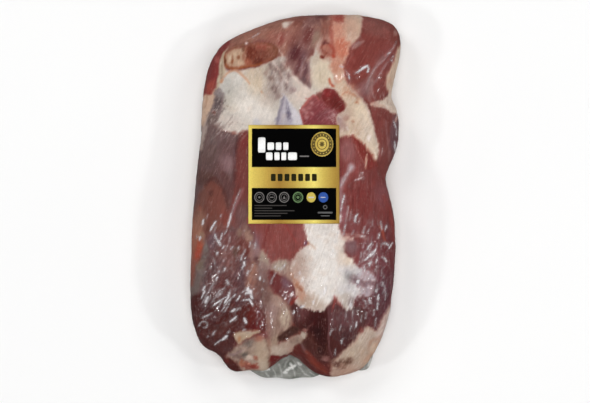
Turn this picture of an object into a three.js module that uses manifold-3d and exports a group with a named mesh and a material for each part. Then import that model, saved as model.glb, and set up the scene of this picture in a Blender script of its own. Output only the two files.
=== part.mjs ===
// Vacuum-packed whole beef brisket with a stuck-on label, lying flat.
// Units are millimetres, +Z up. The origin is the middle of the base,
// +Y runs along the long side, +X across it.
//
// Two pieces:
//   pack   the boneless brisket in its shrunk clear bag, one solid, with the
//          spare film of the bag's mouth at the -Y end and the bag's corner
//   label  the rectangular label lying on the top of the bag
import * as THREE from 'three';
import { mergeVertices } from 'three/addons/utils/BufferGeometryUtils.js';
import Module from 'manifold-3d';

// ---------------------------------------------------------------- dimensions
// Plan outline: a superellipse, changed by named bulges and hollows.
const HALF_WIDTH = 116.0;        // superellipse half axis along X
const HALF_LENGTH = 210.7;       // superellipse half axis along Y
const SQUARENESS = 3.38;         // exponent of the superellipse
// [change of radius mm, direction deg counted from +X, spread deg]
const OUTLINE_LOBES = {
  right_flat:        [-20.92, 25.98, 17.28],
  right_shoulder:    [22.23, 28.31, 8.64],
  right_fold:        [-29.12, 48.21, 4.76],
  top_right_lobe:    [46.84, 53.89, 10.24],
  top_left_slope:    [-12.53, 105.75, 8.23],
  top_left_corner:   [-7.57, 141.65, 13.62],
  left_belly:        [3.84, 200.86, 11.68],
  low_left_bulge:    [17.02, 235.89, 14.76],
  low_left_hollow:   [-12.60, 244.34, 3.90],
  low_left_step:     [-11.09, 255.25, 3.38],
  mouth_hollow:      [-28.10, 267.87, 5.41],
  low_right_knuckle: [3.07, 291.68, 3.03],
};

// Side profile
const EQUATOR_Z = 31.0;          // height of the widest line above the table
const EQUATOR_DROP_ENDS = 5.0;   // how much lower it lies at the two thin ends
const BASE_ROUNDING = 24.0;      // width of the rounding from base to widest line
const SHOULDER_WIDTH = 58.0;     // width of the rounding from widest line to top
const SHOULDER_POWER = 2.25;     // fullness of that rounding

// Top of the meat
const TOP_LOW = 57.0;            // top height far from the thick part
const TOP_CROWN = 24.0;          // extra height of the thick part
const CROWN_Y = -38.0;           // where along the length it is thickest
const CROWN_SPREAD = 155.0;      // how far the thick part reaches
const CROWN_SIDE_FALL = 5.0;     // fall of the top towards the long sides
// mounds: [x, y, spread x, spread y, height]
const MOUNDS = {
  upper_right_muscle: [86, 156, 26, 44, 6.0],
  upper_left_fat:     [-68, 108, 34, 34, 4.0],
  right_muscle:       [84, -14, 26, 52, 3.5],
  left_muscle:        [-92, -66, 26, 52, 4.5],
  low_right_muscle:   [64, -138, 36, 36, 6.0],
  low_left_muscle:    [-76, -146, 32, 32, 4.0],
};
// furrows between muscles: [x0, y0, x1, y1, half width, depth]
const FURROWS = {
  fat_band:     [58, 128, 103, 20, 10, 4.5],
  right_fold:   [72, 122, 118, 118, 9, 6.0],
  mouth_cleft:  [-8, -186, -26, -108, 13, 9.0],
  left_seam:    [-66, 22, -48, -100, 9, 3.5],
  corner_cleft: [70, 176, 48, 120, 8, 3.0],
};

// Label
const LABEL_WIDTH = 103.5;
const LABEL_HEIGHT = 112.3;
const LABEL_X = -1.8;
const LABEL_Y = 25.8;
const LABEL_THICKNESS = 0.4;
const LABEL_GAP = 0.5;           // clearance between the label and the bag
const LABEL_CELLS = 12;
const LABEL_CALM = 34.0;         // width over which the relief dies out round it

// Spare film of the bag's mouth, and the corner of the bag
const FILM_THICKNESS = 1.4;
const MOUTH_LEFT = -66.0;
const MOUTH_RIGHT = 46.0;
const MOUTH_EDGE_Y = -210.3;
const MOUTH_ROOT_Y = -166.0;
const MOUTH_ROOT_Z = 27.0;
const MOUTH_EDGE_Z = 17.0;
const MOUTH_WAVE = 0.7;          // waviness of the cut edge
const CORNER_ANGLE = -66.9;      // direction of the bag's corner
const CORNER_HALF_ANGLE = 3.6;
const CORNER_PROUD = 6.4;        // how far it stands out past the meat
const CORNER_SHARPNESS = 1.4;    // 2 is a round corner, 1 a pointed one

// Mesh fineness
const TURNS = 128;               // steps round the outline
const TOP_RINGS = 16;
const BASE_RINGS = 7;

// ------------------------------------------------------------------ functions
const rad = (deg) => (deg * Math.PI) / 180;
const wrap = (deg) => ((((deg + 180) % 360) + 360) % 360) - 180;
const smooth = (t) => {
  const u = Math.min(1, Math.max(0, t));
  return u * u * (3 - 2 * u);
};

function outlineRadius(deg) {
  const c = Math.abs(Math.cos(rad(deg)) / HALF_WIDTH);
  const s = Math.abs(Math.sin(rad(deg)) / HALF_LENGTH);
  let r = Math.pow(Math.pow(c, SQUARENESS) + Math.pow(s, SQUARENESS), -1 / SQUARENESS);
  for (const [amount, at, spread] of Object.values(OUTLINE_LOBES)) {
    r += amount * Math.exp(-0.5 * (wrap(deg - at) / spread) ** 2);
  }
  return r;
}

function segmentDistance(x, y, x0, y0, x1, y1) {
  const dx = x1 - x0;
  const dy = y1 - y0;
  const t = Math.min(1, Math.max(0, ((x - x0) * dx + (y - y0) * dy) / (dx * dx + dy * dy)));
  return Math.hypot(x - x0 - t * dx, y - y0 - t * dy);
}

// 0 under the label, 1 well away from it
function awayFromLabel(x, y) {
  const dx = Math.max(0, Math.abs(x - LABEL_X) - LABEL_WIDTH / 2);
  const dy = Math.max(0, Math.abs(y - LABEL_Y) - LABEL_HEIGHT / 2);
  return smooth(Math.hypot(dx, dy) / LABEL_CALM);
}

function plateau(x, y) {
  let h = TOP_LOW + TOP_CROWN * Math.exp(-(((y - CROWN_Y) / CROWN_SPREAD) ** 2));
  h -= CROWN_SIDE_FALL * (x / HALF_WIDTH) ** 2;
  let relief = 0;
  for (const [mx, my, sx, sy, up] of Object.values(MOUNDS)) {
    relief += up * Math.exp(-0.5 * (((x - mx) / sx) ** 2 + ((y - my) / sy) ** 2));
  }
  for (const [x0, y0, x1, y1, w, depth] of Object.values(FURROWS)) {
    relief -= depth * Math.exp(-0.5 * (segmentDistance(x, y, x0, y0, x1, y1) / w) ** 2);
  }
  return h + relief * awayFromLabel(x, y);
}

function equatorHeight(y) {
  return EQUATOR_Z - EQUATOR_DROP_ENDS * (y / HALF_LENGTH) ** 2;
}

// inset: distance from the outline, measured along the ray from the centre
function topHeight(x, y, inset) {
  const u = Math.min(1, Math.max(0, inset / SHOULDER_WIDTH));
  const full = Math.pow(1 - Math.pow(1 - u, SHOULDER_POWER), 1 / SHOULDER_POWER);
  const low = equatorHeight(y);
  return low + (plateau(x, y) - low) * full;
}

function baseHeight(y, inset) {
  const u = Math.min(1, Math.max(0, inset / BASE_ROUNDING));
  return equatorHeight(y) * (1 - Math.sqrt(1 - (1 - u) ** 2));
}

function topOfPack(x, y) {
  const r = outlineRadius((Math.atan2(y, x) * 180) / Math.PI);
  return topHeight(x, y, r - Math.hypot(x, y));
}

function geometryOf(positions, triangles) {
  const g = new THREE.BufferGeometry();
  g.setAttribute('position', new THREE.Float32BufferAttribute(positions, 3));
  g.setIndex(triangles);
  return g;
}

// The meat in its tight bag: rings from the middle of the top out to the
// widest line, and back under it to the middle of the flat base.
function bodyGeometry() {
  const pos = [0, 0, topHeight(0, 0, outlineRadius(0))];
  const tri = [];
  const rings = [];
  const ring = (heightOf, insetOf) => {
    const first = pos.length / 3;
    for (let i = 0; i < TURNS; i += 1) {
      const deg = (360 * i) / TURNS;
      const r = outlineRadius(deg);
      const inset = insetOf(r);
      const x = (r - inset) * Math.cos(rad(deg));
      const y = (r - inset) * Math.sin(rad(deg));
      pos.push(x, y, heightOf(x, y, inset));
    }
    rings.push(first);
  };
  for (let k = 1; k <= TOP_RINGS; k += 1) {
    const t = Math.sin((Math.PI / 2) * (k / TOP_RINGS));
    ring(topHeight, (r) => r * (1 - t));
  }
  for (let k = 1; k <= BASE_RINGS; k += 1) {
    const u = 1 - Math.cos((Math.PI / 2) * (k / BASE_RINGS));
    ring((x, y, inset) => (k === BASE_RINGS ? 0 : baseHeight(y, inset)), () => u * BASE_ROUNDING);
  }
  const bottom = pos.length / 3;
  pos.push(0, 0, 0);
  for (let i = 0; i < TURNS; i += 1) {
    const j = (i + 1) % TURNS;
    tri.push(0, rings[0] + i, rings[0] + j);
    for (let k = 1; k < rings.length; k += 1) {
      const a = rings[k - 1];
      const b = rings[k];
      tri.push(a + i, b + i, b + j, a + i, b + j, a + j);
    }
    const last = rings[rings.length - 1];
    tri.push(bottom, last + j, last + i);
  }
  return geometryOf(pos, tri);
}

// A closed sheet over an nx by ny grid: low(u, v) and high(u, v) give the
// points of its two faces.
function sheetGeometry(nx, ny, low, high) {
  const pos = [];
  const tri = [];
  const at = (side, i, j) => side * (nx + 1) * (ny + 1) + j * (nx + 1) + i;
  for (const face of [low, high]) {
    for (let j = 0; j <= ny; j += 1) {
      for (let i = 0; i <= nx; i += 1) pos.push(...face(i / nx, j / ny));
    }
  }
  const quad = (a, b, c, d) => tri.push(a, b, c, a, c, d);
  for (let j = 0; j < ny; j += 1) {
    for (let i = 0; i < nx; i += 1) {
      quad(at(1, i, j), at(1, i + 1, j), at(1, i + 1, j + 1), at(1, i, j + 1));
      quad(at(0, i, j), at(0, i, j + 1), at(0, i + 1, j + 1), at(0, i + 1, j));
    }
  }
  for (let i = 0; i < nx; i += 1) {
    quad(at(0, i, 0), at(0, i + 1, 0), at(1, i + 1, 0), at(1, i, 0));
    quad(at(0, i + 1, ny), at(0, i, ny), at(1, i, ny), at(1, i + 1, ny));
  }
  for (let j = 0; j < ny; j += 1) {
    quad(at(0, 0, j + 1), at(0, 0, j), at(1, 0, j), at(1, 0, j + 1));
    quad(at(0, nx, j), at(0, nx, j + 1), at(1, nx, j + 1), at(1, nx, j));
  }
  return geometryOf(pos, tri);
}

// Spare film at the bag's mouth: from inside the meat out to a wavy cut edge,
// with its two front corners rounded off.
function mouthPoint(u, v, side) {
  const x = MOUTH_LEFT + (MOUTH_RIGHT - MOUTH_LEFT) * u;
  const mid = (MOUTH_LEFT + MOUTH_RIGHT) / 2;
  const half = (MOUTH_RIGHT - MOUTH_LEFT) / 2;
  const off = Math.abs(x - mid) / half;
  const rounded = 21 * Math.pow(off, 3.2) * (x < mid ? 1 : 0.75);
  const edge = MOUTH_EDGE_Y + rounded + MOUTH_WAVE * Math.sin(x / 4.7);
  const y = MOUTH_ROOT_Y + (edge - MOUTH_ROOT_Y) * v;
  const pleat = 1.1 * v * Math.sin(x / 7.5 + 0.6);
  const z = MOUTH_ROOT_Z + (MOUTH_EDGE_Z - MOUTH_ROOT_Z) * v * v + pleat;
  return [x, y, z + side * FILM_THICKNESS / 2];
}

// The flattened corner of the bag, a small fin past the low right of the meat.
function cornerPoint(u, v, side) {
  const deg = CORNER_ANGLE + CORNER_HALF_ANGLE * (2 * u - 1);
  const r = outlineRadius(deg);
  const proud = CORNER_PROUD * (1 - Math.abs(2 * u - 1) ** CORNER_SHARPNESS) - 0.6;
  const reach = r - 12 + (12 + proud) * v;
  const y = reach * Math.sin(rad(deg));
  return [reach * Math.cos(rad(deg)), y, equatorHeight(y) - 2 * v + side * FILM_THICKNESS / 2];
}

const wasm = await Module();
wasm.setup();

function toSolid(geometry) {
  const g = geometry.clone();
  g.deleteAttribute('normal');
  g.deleteAttribute('uv');
  const merged = mergeVertices(g, 1e-4);
  return new wasm.Manifold(new wasm.Mesh({
    numProp: 3,
    vertProperties: new Float32Array(merged.attributes.position.array),
    triVerts: new Uint32Array(merged.index.array),
  }));
}

function fromSolid(solid) {
  const m = solid.getMesh();
  const g = new THREE.BufferGeometry();
  g.setAttribute('position', new THREE.BufferAttribute(new Float32Array(m.vertProperties), 3));
  g.setIndex(new THREE.BufferAttribute(new Uint32Array(m.triVerts), 1));
  g.computeVertexNormals();
  return g;
}

// ----------------------------------------------------------------- the pieces
const body = toSolid(bodyGeometry());
const mouth = toSolid(sheetGeometry(26, 6, (u, v) => mouthPoint(1 - u, v, -1), (u, v) => mouthPoint(1 - u, v, 1)));
const corner = toSolid(sheetGeometry(8, 3, (u, v) => cornerPoint(1 - u, v, -1), (u, v) => cornerPoint(1 - u, v, 1)));

const pack = new THREE.Mesh(
  fromSolid(body.add(mouth).add(corner)),
  new THREE.MeshStandardMaterial({ color: 0x7c443f, roughness: 0.32, metalness: 0 }),
);
pack.name = 'pack';

const labelPoint = (u, v, lift) => {
  const x = LABEL_X + LABEL_WIDTH * (u - 0.5);
  const y = LABEL_Y + LABEL_HEIGHT * (v - 0.5);
  return [x, y, topOfPack(x, y) + LABEL_GAP + lift];
};
const label = new THREE.Mesh(
  sheetGeometry(LABEL_CELLS, LABEL_CELLS, (u, v) => labelPoint(u, v, 0), (u, v) => labelPoint(u, v, LABEL_THICKNESS)),
  new THREE.MeshStandardMaterial({ color: 0x14110c, roughness: 0.35, metalness: 0 }),
);
label.name = 'label';

const brisket = new THREE.Group();
brisket.add(pack, label);

export default brisket;
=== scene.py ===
"""Looks of the vacuum-packed beef brisket: meat, clear film, spare film and label.

Lengths in the making are millimetres; meshes are scaled to metres when built.
Places on the meat are given in the picture's own frame of 590 x 403, where one
unit is UNIT mm on the plane of the pack's widest line.
"""
import math

import bpy
import numpy as np
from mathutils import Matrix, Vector


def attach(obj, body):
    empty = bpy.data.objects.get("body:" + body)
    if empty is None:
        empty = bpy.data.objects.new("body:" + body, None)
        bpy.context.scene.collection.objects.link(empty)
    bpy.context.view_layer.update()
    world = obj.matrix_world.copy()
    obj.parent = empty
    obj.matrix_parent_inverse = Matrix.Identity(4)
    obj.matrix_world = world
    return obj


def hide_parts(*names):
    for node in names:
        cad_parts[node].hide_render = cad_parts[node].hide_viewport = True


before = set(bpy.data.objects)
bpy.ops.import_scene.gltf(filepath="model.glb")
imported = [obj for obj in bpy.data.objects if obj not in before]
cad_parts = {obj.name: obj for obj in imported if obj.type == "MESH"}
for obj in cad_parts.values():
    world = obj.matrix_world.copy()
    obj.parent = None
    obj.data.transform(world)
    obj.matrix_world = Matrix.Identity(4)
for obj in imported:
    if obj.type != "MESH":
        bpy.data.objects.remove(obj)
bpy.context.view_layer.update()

# ------------------------------------------------------------------ numbers
UNIT = 1.154                     # mm a picture unit
MID_X, MID_Y = 295.5, 197.0      # picture place of the pack's middle
AIM_X, AIM_Y = 295.0, 201.5      # middle of the picture
REF_Z = 31.0                     # height of the widest line
CAM_DIST = 3000.0                # camera above that line

HALF_WIDTH, HALF_LENGTH, SQUARENESS = 116.0, 210.7, 3.38
OUTLINE_LOBES = (
    (-20.92, 25.98, 17.28), (22.23, 28.31, 8.64), (-29.12, 48.21, 4.76),
    (46.84, 53.89, 10.24), (-12.53, 105.75, 8.23), (-7.57, 141.65, 13.62),
    (3.84, 200.86, 11.68), (17.02, 235.89, 14.76), (-12.60, 244.34, 3.90),
    (-11.09, 255.25, 3.38), (-28.10, 267.87, 5.41), (3.07, 291.68, 3.03),
)
EQUATOR_Z, EQUATOR_DROP = 31.0, 5.0
BASE_ROUNDING, SHOULDER_WIDTH, SHOULDER_POWER = 24.0, 58.0, 2.25
TOP_LOW, TOP_CROWN, CROWN_Y, CROWN_SPREAD, CROWN_SIDE_FALL = 57.0, 24.0, -38.0, 155.0, 5.0
MOUNDS = (
    (86, 156, 26, 44, 6.0), (-68, 108, 34, 34, 4.0), (84, -14, 26, 52, 3.5),
    (-92, -66, 26, 52, 4.5), (64, -138, 36, 36, 6.0), (-76, -146, 32, 32, 4.0),
)
FURROWS = (
    (58, 128, 103, 20, 10, 4.5), (72, 122, 118, 118, 9, 6.0),
    (-8, -186, -26, -108, 13, 9.0), (-66, 22, -48, -100, 9, 3.5),
    (70, 176, 48, 120, 8, 3.0),
)
LABEL_W, LABEL_H, LABEL_X, LABEL_Y, LABEL_CALM = 103.5, 112.3, -1.8, 25.8, 34.0

LIGHT_LEVEL, FILM_VEIL = 0.96, 0.012   # how bright white is here, and what the film adds
CELLS_X, CELLS_Y = 200, 328      # mesh cells over the top
WALL_RINGS, BASE_RINGS = 22, 7


# --------------------------------------------------------------- small maths
def smooth(t):
    t = np.clip(t, 0.0, 1.0)
    return t * t * (3 - 2 * t)


def lerp(a, b, t):
    return a + (b - a) * t


def lin(c):
    c = np.asarray(c, float) / 255.0
    return np.where(c <= 0.04045, c / 12.92, ((c + 0.055) / 1.055) ** 2.4)


class Noise:
    """Gradient noise in three dimensions, about -1 to 1."""

    def __init__(self, seed):
        rng = np.random.default_rng(seed)
        self.perm = np.concatenate([rng.permutation(256)] * 3)
        g = rng.normal(size=(256, 3))
        self.grad = g / np.linalg.norm(g, axis=1, keepdims=True)

    def __call__(self, p):
        p = np.asarray(p, float)
        i = np.floor(p).astype(int)
        f = p - i
        u = f * f * f * (f * (f * 6 - 15) + 10)
        i &= 255
        out = 0.0
        for dx in (0, 1):
            wx = u[:, 0] if dx else 1 - u[:, 0]
            for dy in (0, 1):
                wy = u[:, 1] if dy else 1 - u[:, 1]
                for dz in (0, 1):
                    wz = u[:, 2] if dz else 1 - u[:, 2]
                    h = self.perm[self.perm[self.perm[i[:, 0] + dx] + (i[:, 1] + dy & 255)] + (i[:, 2] + dz & 255)]
                    g = self.grad[h]
                    d = g[:, 0] * (f[:, 0] - dx) + g[:, 1] * (f[:, 1] - dy) + g[:, 2] * (f[:, 2] - dz)
                    out = out + wx * wy * wz * d
        return out * 1.6


NOISES = [Noise(40 + k) for k in range(8)]


def noise(p, size, which=0, octaves=1, rough=0.5):
    """Noise over points in mm, with features about size mm across."""
    total, amp, norm, s = 0.0, 1.0, 0.0, 1.0 / size
    for k in range(octaves):
        total = total + amp * NOISES[(which + k) % 8](np.asarray(p) * s + 17.3 * k + 5.1 * which)
        norm += amp
        amp *= rough
        s *= 2.03
    return total / norm


# ------------------------------------------------------------ form of the pack
def outline_radius(deg):
    c = np.abs(np.cos(np.radians(deg)) / HALF_WIDTH)
    s = np.abs(np.sin(np.radians(deg)) / HALF_LENGTH)
    r = (c ** SQUARENESS + s ** SQUARENESS) ** (-1 / SQUARENESS)
    for amount, at, spread in OUTLINE_LOBES:
        d = (deg - at + 180) % 360 - 180
        r = r + amount * np.exp(-0.5 * (d / spread) ** 2)
    return r


def away_from_label(x, y):
    dx = np.maximum(0, np.abs(x - LABEL_X) - LABEL_W / 2)
    dy = np.maximum(0, np.abs(y - LABEL_Y) - LABEL_H / 2)
    return smooth(np.hypot(dx, dy) / LABEL_CALM)


def segment_distance(x, y, x0, y0, x1, y1):
    dx, dy = x1 - x0, y1 - y0
    t = np.clip(((x - x0) * dx + (y - y0) * dy) / (dx * dx + dy * dy), 0, 1)
    return np.hypot(x - x0 - t * dx, y - y0 - t * dy)


def plateau(x, y):
    h = TOP_LOW + TOP_CROWN * np.exp(-(((y - CROWN_Y) / CROWN_SPREAD) ** 2))
    h = h - CROWN_SIDE_FALL * (x / HALF_WIDTH) ** 2
    relief = 0.0
    for mx, my, sx, sy, up in MOUNDS:
        relief = relief + up * np.exp(-0.5 * (((x - mx) / sx) ** 2 + ((y - my) / sy) ** 2))
    for x0, y0, x1, y1, w, depth in FURROWS:
        relief = relief - depth * np.exp(-0.5 * (segment_distance(x, y, x0, y0, x1, y1) / w) ** 2)
    return h + relief * away_from_label(x, y)


def equator_height(y):
    return EQUATOR_Z - EQUATOR_DROP * (y / HALF_LENGTH) ** 2


def top_height(x, y, inset):
    u = np.clip(inset / SHOULDER_WIDTH, 0, 1)
    full = (1 - (1 - u) ** SHOULDER_POWER) ** (1 / SHOULDER_POWER)
    low = equator_height(y)
    return low + (plateau(x, y) - low) * full


def base_height(y, inset):
    u = np.clip(inset / BASE_ROUNDING, 0, 1)
    return equator_height(y) * (1 - np.sqrt(np.maximum(0, 1 - (1 - u) ** 2)))


def top_of_pack(x, y):
    r = outline_radius(np.degrees(np.arctan2(y, x)))
    return top_height(x, y, r - np.hypot(x, y))


# Even steps along the shoulder: how long the curve is from the widest line in.
_u = np.linspace(0, 1, 2000) ** 3
_ins = _u * SHOULDER_WIDTH
_hgt = 46.0 * (1 - (1 - _u) ** SHOULDER_POWER) ** (1 / SHOULDER_POWER)
_arc = np.concatenate([[0], np.cumsum(np.hypot(np.diff(_ins), np.diff(_hgt)))])
SHOULDER_ARC = float(_arc[-1])


def picture_place(pts):
    """Where points in mm are seen in the picture frame."""
    scale = CAM_DIST / (CAM_DIST - (pts[:, 2] - REF_Z))
    ax, ay = (AIM_X - MID_X) * UNIT, (MID_Y - AIM_Y) * UNIT
    return np.stack([AIM_X + (pts[:, 0] - ax) / UNIT * scale, AIM_Y - (pts[:, 1] - ay) / UNIT * scale], 1)


def build_grid():
    """Points of the whole skin and its faces.

    Returns points, faces, and for each point its place in the picture frame
    (unrolled past the widest line for what lies under it)."""
    nx, ny = CELLS_X, CELLS_Y
    i, j = np.meshgrid(np.arange(nx + 1), np.arange(ny + 1))
    u = 2 * i / nx - 1.0
    v = 2 * j / ny - 1.0
    u, v = u.ravel(), v.ravel()
    rho = np.maximum(np.abs(u), np.abs(v))
    ang = np.arctan2(205.0 * v, 116.0 * u)
    deg = np.degrees(ang)
    r = outline_radius(deg)
    length = (r - SHOULDER_WIDTH) + SHOULDER_ARC
    along = rho * length
    plan = np.where(along < r - SHOULDER_WIDTH, along,
                    r - np.interp(length - along, _arc, _ins))
    x, y = plan * np.cos(ang), plan * np.sin(ang)
    z = top_height(x, y, r - plan)
    pts = [np.stack([x, y, z], 1)]
    pic = [picture_place(pts[0])]
    idx = np.arange((nx + 1) * (ny + 1)).reshape(ny + 1, nx + 1)
    faces = [np.stack([idx[:-1, :-1], idx[:-1, 1:], idx[1:, 1:], idx[1:, :-1]], -1).reshape(-1, 4)]
    edge = np.concatenate([idx[0, :-1], idx[:-1, -1], idx[-1, :0:-1], idx[:0:-1, 0]])
    er, ea = r[edge], ang[edge]
    previous = edge
    count = len(x)
    steps = [(1 - math.cos(math.pi / 2 * k / WALL_RINGS)) * BASE_ROUNDING for k in range(1, WALL_RINGS + 1)]
    arcs = [39.5 * k / WALL_RINGS for k in range(1, WALL_RINGS + 1)]
    for k in range(1, BASE_RINGS + 1):
        steps.append(-(k / (BASE_RINGS + 1.0)))
        arcs.append(None)
    for n, (s, a) in enumerate(zip(steps, arcs)):
        if s >= 0:
            inset = np.full(len(edge), s)
            ext = er + a
        else:
            inset = BASE_ROUNDING + (er - BASE_ROUNDING) * (-s)
            ext = er + 39.5 + (er - BASE_ROUNDING) * (-s)
        rx, ry = (er - inset) * np.cos(ea), (er - inset) * np.sin(ea)
        rz = base_height(ry, inset) if n < WALL_RINGS - 1 else np.zeros(len(edge))
        pts.append(np.stack([rx, ry, rz], 1))
        pic.append(np.stack([MID_X + ext * np.cos(ea) / UNIT, MID_Y - ext * np.sin(ea) / UNIT], 1))
        ring = np.arange(count, count + len(edge))
        count += len(edge)
        nxt = np.roll(ring, -1)
        pn = np.roll(previous, -1)
        faces.append(np.stack([pn, previous, ring, nxt], 1))
        previous = ring
    pts.append(np.array([[0.0, 0.0, 0.0]]))
    pic.append(np.array([[MID_X, MID_Y - 500.0]]))
    cap = np.stack([np.roll(previous, -1), previous, np.full(len(edge), count)], 1)
    return np.concatenate(pts), faces, cap, np.concatenate(pic)


def make_mesh(name, pts_mm, faces_list, smooth_shade=True):
    """A mesh from points in mm and lists of face index arrays."""
    me = bpy.data.meshes.new(name)
    loops = np.concatenate([f.ravel() for f in faces_list]).astype(np.int32)
    sizes = np.concatenate([np.full(len(f), f.shape[1]) for f in faces_list]).astype(np.int32)
    starts = np.concatenate([[0], np.cumsum(sizes)[:-1]]).astype(np.int32)
    me.vertices.add(len(pts_mm))
    me.vertices.foreach_set("co", (np.asarray(pts_mm, np.float64) / 1000.0).astype(np.float32).ravel())
    me.loops.add(len(loops))
    me.loops.foreach_set("vertex_index", loops)
    me.polygons.add(len(sizes))
    me.polygons.foreach_set("loop_start", starts)
    me.polygons.foreach_set("loop_total", sizes)
    me.update(calc_edges=True)
    me.validate()
    if smooth_shade:
        me.polygons.foreach_set("use_smooth", np.ones(len(me.polygons), bool))
    ob = bpy.data.objects.new(name, me)
    bpy.context.scene.collection.objects.link(ob)
    return ob


def mesh_normals(ob):
    n = np.zeros(len(ob.data.vertices) * 3, np.float32)
    ob.data.vertex_normals.foreach_get("vector", n)
    return n.reshape(-1, 3).astype(float)


def set_points(ob, pts_mm):
    ob.data.vertices.foreach_set("co", (pts_mm / 1000.0).astype(np.float32).ravel())
    ob.data.update()


def put_float(ob, name, values):
    a = ob.data.attributes.new(name, "FLOAT", "POINT")
    a.data.foreach_set("value", np.asarray(values, np.float32).ravel())


def put_vector(ob, name, values):
    a = ob.data.attributes.new(name, "FLOAT_VECTOR", "POINT")
    a.data.foreach_set("vector", np.asarray(values, np.float32).ravel())


def put_colour(ob, name, values):
    a = ob.data.color_attributes.new(name, "FLOAT_COLOR", "POINT")
    rgba = np.concatenate([np.clip(values, 0, 1), np.ones((len(values), 1))], 1)
    a.data.foreach_set("color", rgba.astype(np.float32).ravel())


# ------------------------------------------------------------------ the skin
PTS, QUADS, CAP, PIC = build_grid()
FACES = [*QUADS, CAP]
meat = make_mesh("brisket_meat", PTS, FACES)
NRM = mesh_normals(meat)

# slow wander of the places where tissues meet
W_BIG = np.stack([noise(PTS, 16, 0), noise(PTS, 16, 3)], 1)
W_MID = np.stack([noise(PTS, 6.5, 1), noise(PTS, 6.5, 4)], 1)
W_FINE = np.stack([noise(PTS, 2.8, 2), noise(PTS, 2.8, 5)], 1)


def streaks(angle, across, along, which=0):
    """Noise drawn out along a direction; angle in degrees, 90 is up the picture."""
    c, s = math.cos(math.radians(angle)), math.sin(math.radians(angle))
    a = PTS[:, 0] * c + PTS[:, 1] * s
    b = -PTS[:, 0] * s + PTS[:, 1] * c
    return noise(np.stack([b / across, a / along, PTS[:, 2] / (across * 3)], 1), 1.0, which, 2)


def fibre_shift(angle):
    """A shift along the fibres that changes from one fibre to the next."""
    c, s = math.cos(math.radians(angle)), math.sin(math.radians(angle))
    return streaks(angle, 1.9, 16, 6)[:, None] * np.array([[c, -s]])


LEFTNESS = smooth((312 - PIC[:, 0]) / 44.0)
W_FIBRE = lerp(fibre_shift(86), fibre_shift(62), LEFTNESS[:, None])


def warped(big=1.0, mid=1.0, fine=0.6, fibre=0.0):
    return PIC + W_BIG * big + W_MID * mid + W_FINE * fine + W_FIBRE * fibre


WARP = {"calm": warped(0.4, 0.4, 0.3), "usual": warped(0.8, 0.9, 0.8, 0.9), "wild": warped(1.6, 2.0, 1.5, 1.6),
        "frayed": warped(0.8, 0.9, 0.9, 2.2), "ragged": warped(0.8, 0.9, 0.9, 4.0)}
_c, _s = math.cos(math.radians(74)), math.sin(math.radians(74))
WARP["fringe"] = warped(0.8, 1.0, 0.9) + streaks(74, 1.7, 10, 3)[:, None] * np.array([[_c, -_s]]) * 3.6


def curve_through(points, closed, steps=4):
    """A smooth line through the given points."""
    p = np.asarray(points, float)
    n = len(p)
    out = []
    last = n if closed else n - 1
    for k in range(last):
        if closed:
            a, b, c, d = p[(k - 1) % n], p[k], p[(k + 1) % n], p[(k + 2) % n]
        else:
            a, b, c, d = p[max(k - 1, 0)], p[k], p[k + 1], p[min(k + 2, n - 1)]
        for s in range(steps):
            t = s / steps
            out.append(0.5 * ((2 * b) + (c - a) * t + (2 * a - 5 * b + 4 * c - d) * t * t
                              + (3 * b - a - 3 * c + d) * t ** 3))
    if not closed:
        out.append(p[-1])
    return np.array(out)


def area(points, soft=1.0, warp="usual", grow=0.0, steps=4):
    """1 inside a smooth closed outline, 0 outside, with a soft edge."""
    line = curve_through(points, True, steps)
    q = WARP[warp]
    low, high = line.min(0) - soft - 6, line.max(0) + soft + 6
    sel = np.nonzero((q > low).all(1) & (q < high).all(1))[0]
    out = np.zeros(len(q))
    if not len(sel):
        return out
    px, py = q[sel, 0], q[sel, 1]
    best = np.full(len(sel), 1e9)
    inside = np.zeros(len(sel), bool)
    for (x0, y0), (x1, y1) in zip(line, np.roll(line, -1, 0)):
        dx, dy = x1 - x0, y1 - y0
        t = np.clip(((px - x0) * dx + (py - y0) * dy) / (dx * dx + dy * dy + 1e-9), 0, 1)
        best = np.minimum(best, (px - x0 - t * dx) ** 2 + (py - y0 - t * dy) ** 2)
        crosses = (y0 > py) != (y1 > py)
        if dy != 0:
            inside ^= crosses & (px < dx * (py - y0) / dy + x0)
    d = np.sqrt(best) * np.where(inside, 1, -1) + grow
    out[sel] = smooth(d / (2 * soft) + 0.5)
    return out


def stroke(points, width, soft=0.6, warp="calm", taper=True):
    """1 along a smooth open line of that width (one number, or one at each point)."""
    line = curve_through(points, False, 4)
    n = len(line)
    if np.isscalar(width):
        widths = np.full(n, float(width))
    else:
        widths = np.interp(np.linspace(0, 1, n), np.linspace(0, 1, len(width)), width)
    if taper:
        widths = widths * (0.35 + 0.65 * np.sin(np.pi * np.clip(np.linspace(0.06, 0.94, n), 0, 1)) ** 0.6)
    q = WARP[warp] if isinstance(warp, str) else warp
    reach = widths.max() + soft + 3
    low, high = line.min(0) - reach, line.max(0) + reach
    sel = np.nonzero((q > low).all(1) & (q < high).all(1))[0]
    out = np.zeros(len(q))
    if not len(sel):
        return out
    px, py = q[sel, 0], q[sel, 1]
    best = np.full(len(sel), 1e9)
    for k in range(n - 1):
        (x0, y0), (x1, y1) = line[k], line[k + 1]
        dx, dy = x1 - x0, y1 - y0
        t = np.clip(((px - x0) * dx + (py - y0) * dy) / (dx * dx + dy * dy + 1e-9), 0, 1)
        w = widths[k] + (widths[k + 1] - widths[k]) * t
        best = np.minimum(best, np.hypot(px - x0 - t * dx, py - y0 - t * dy) - w / 2)
    out[sel] = smooth(0.5 - best / (2 * soft))
    return out


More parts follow.
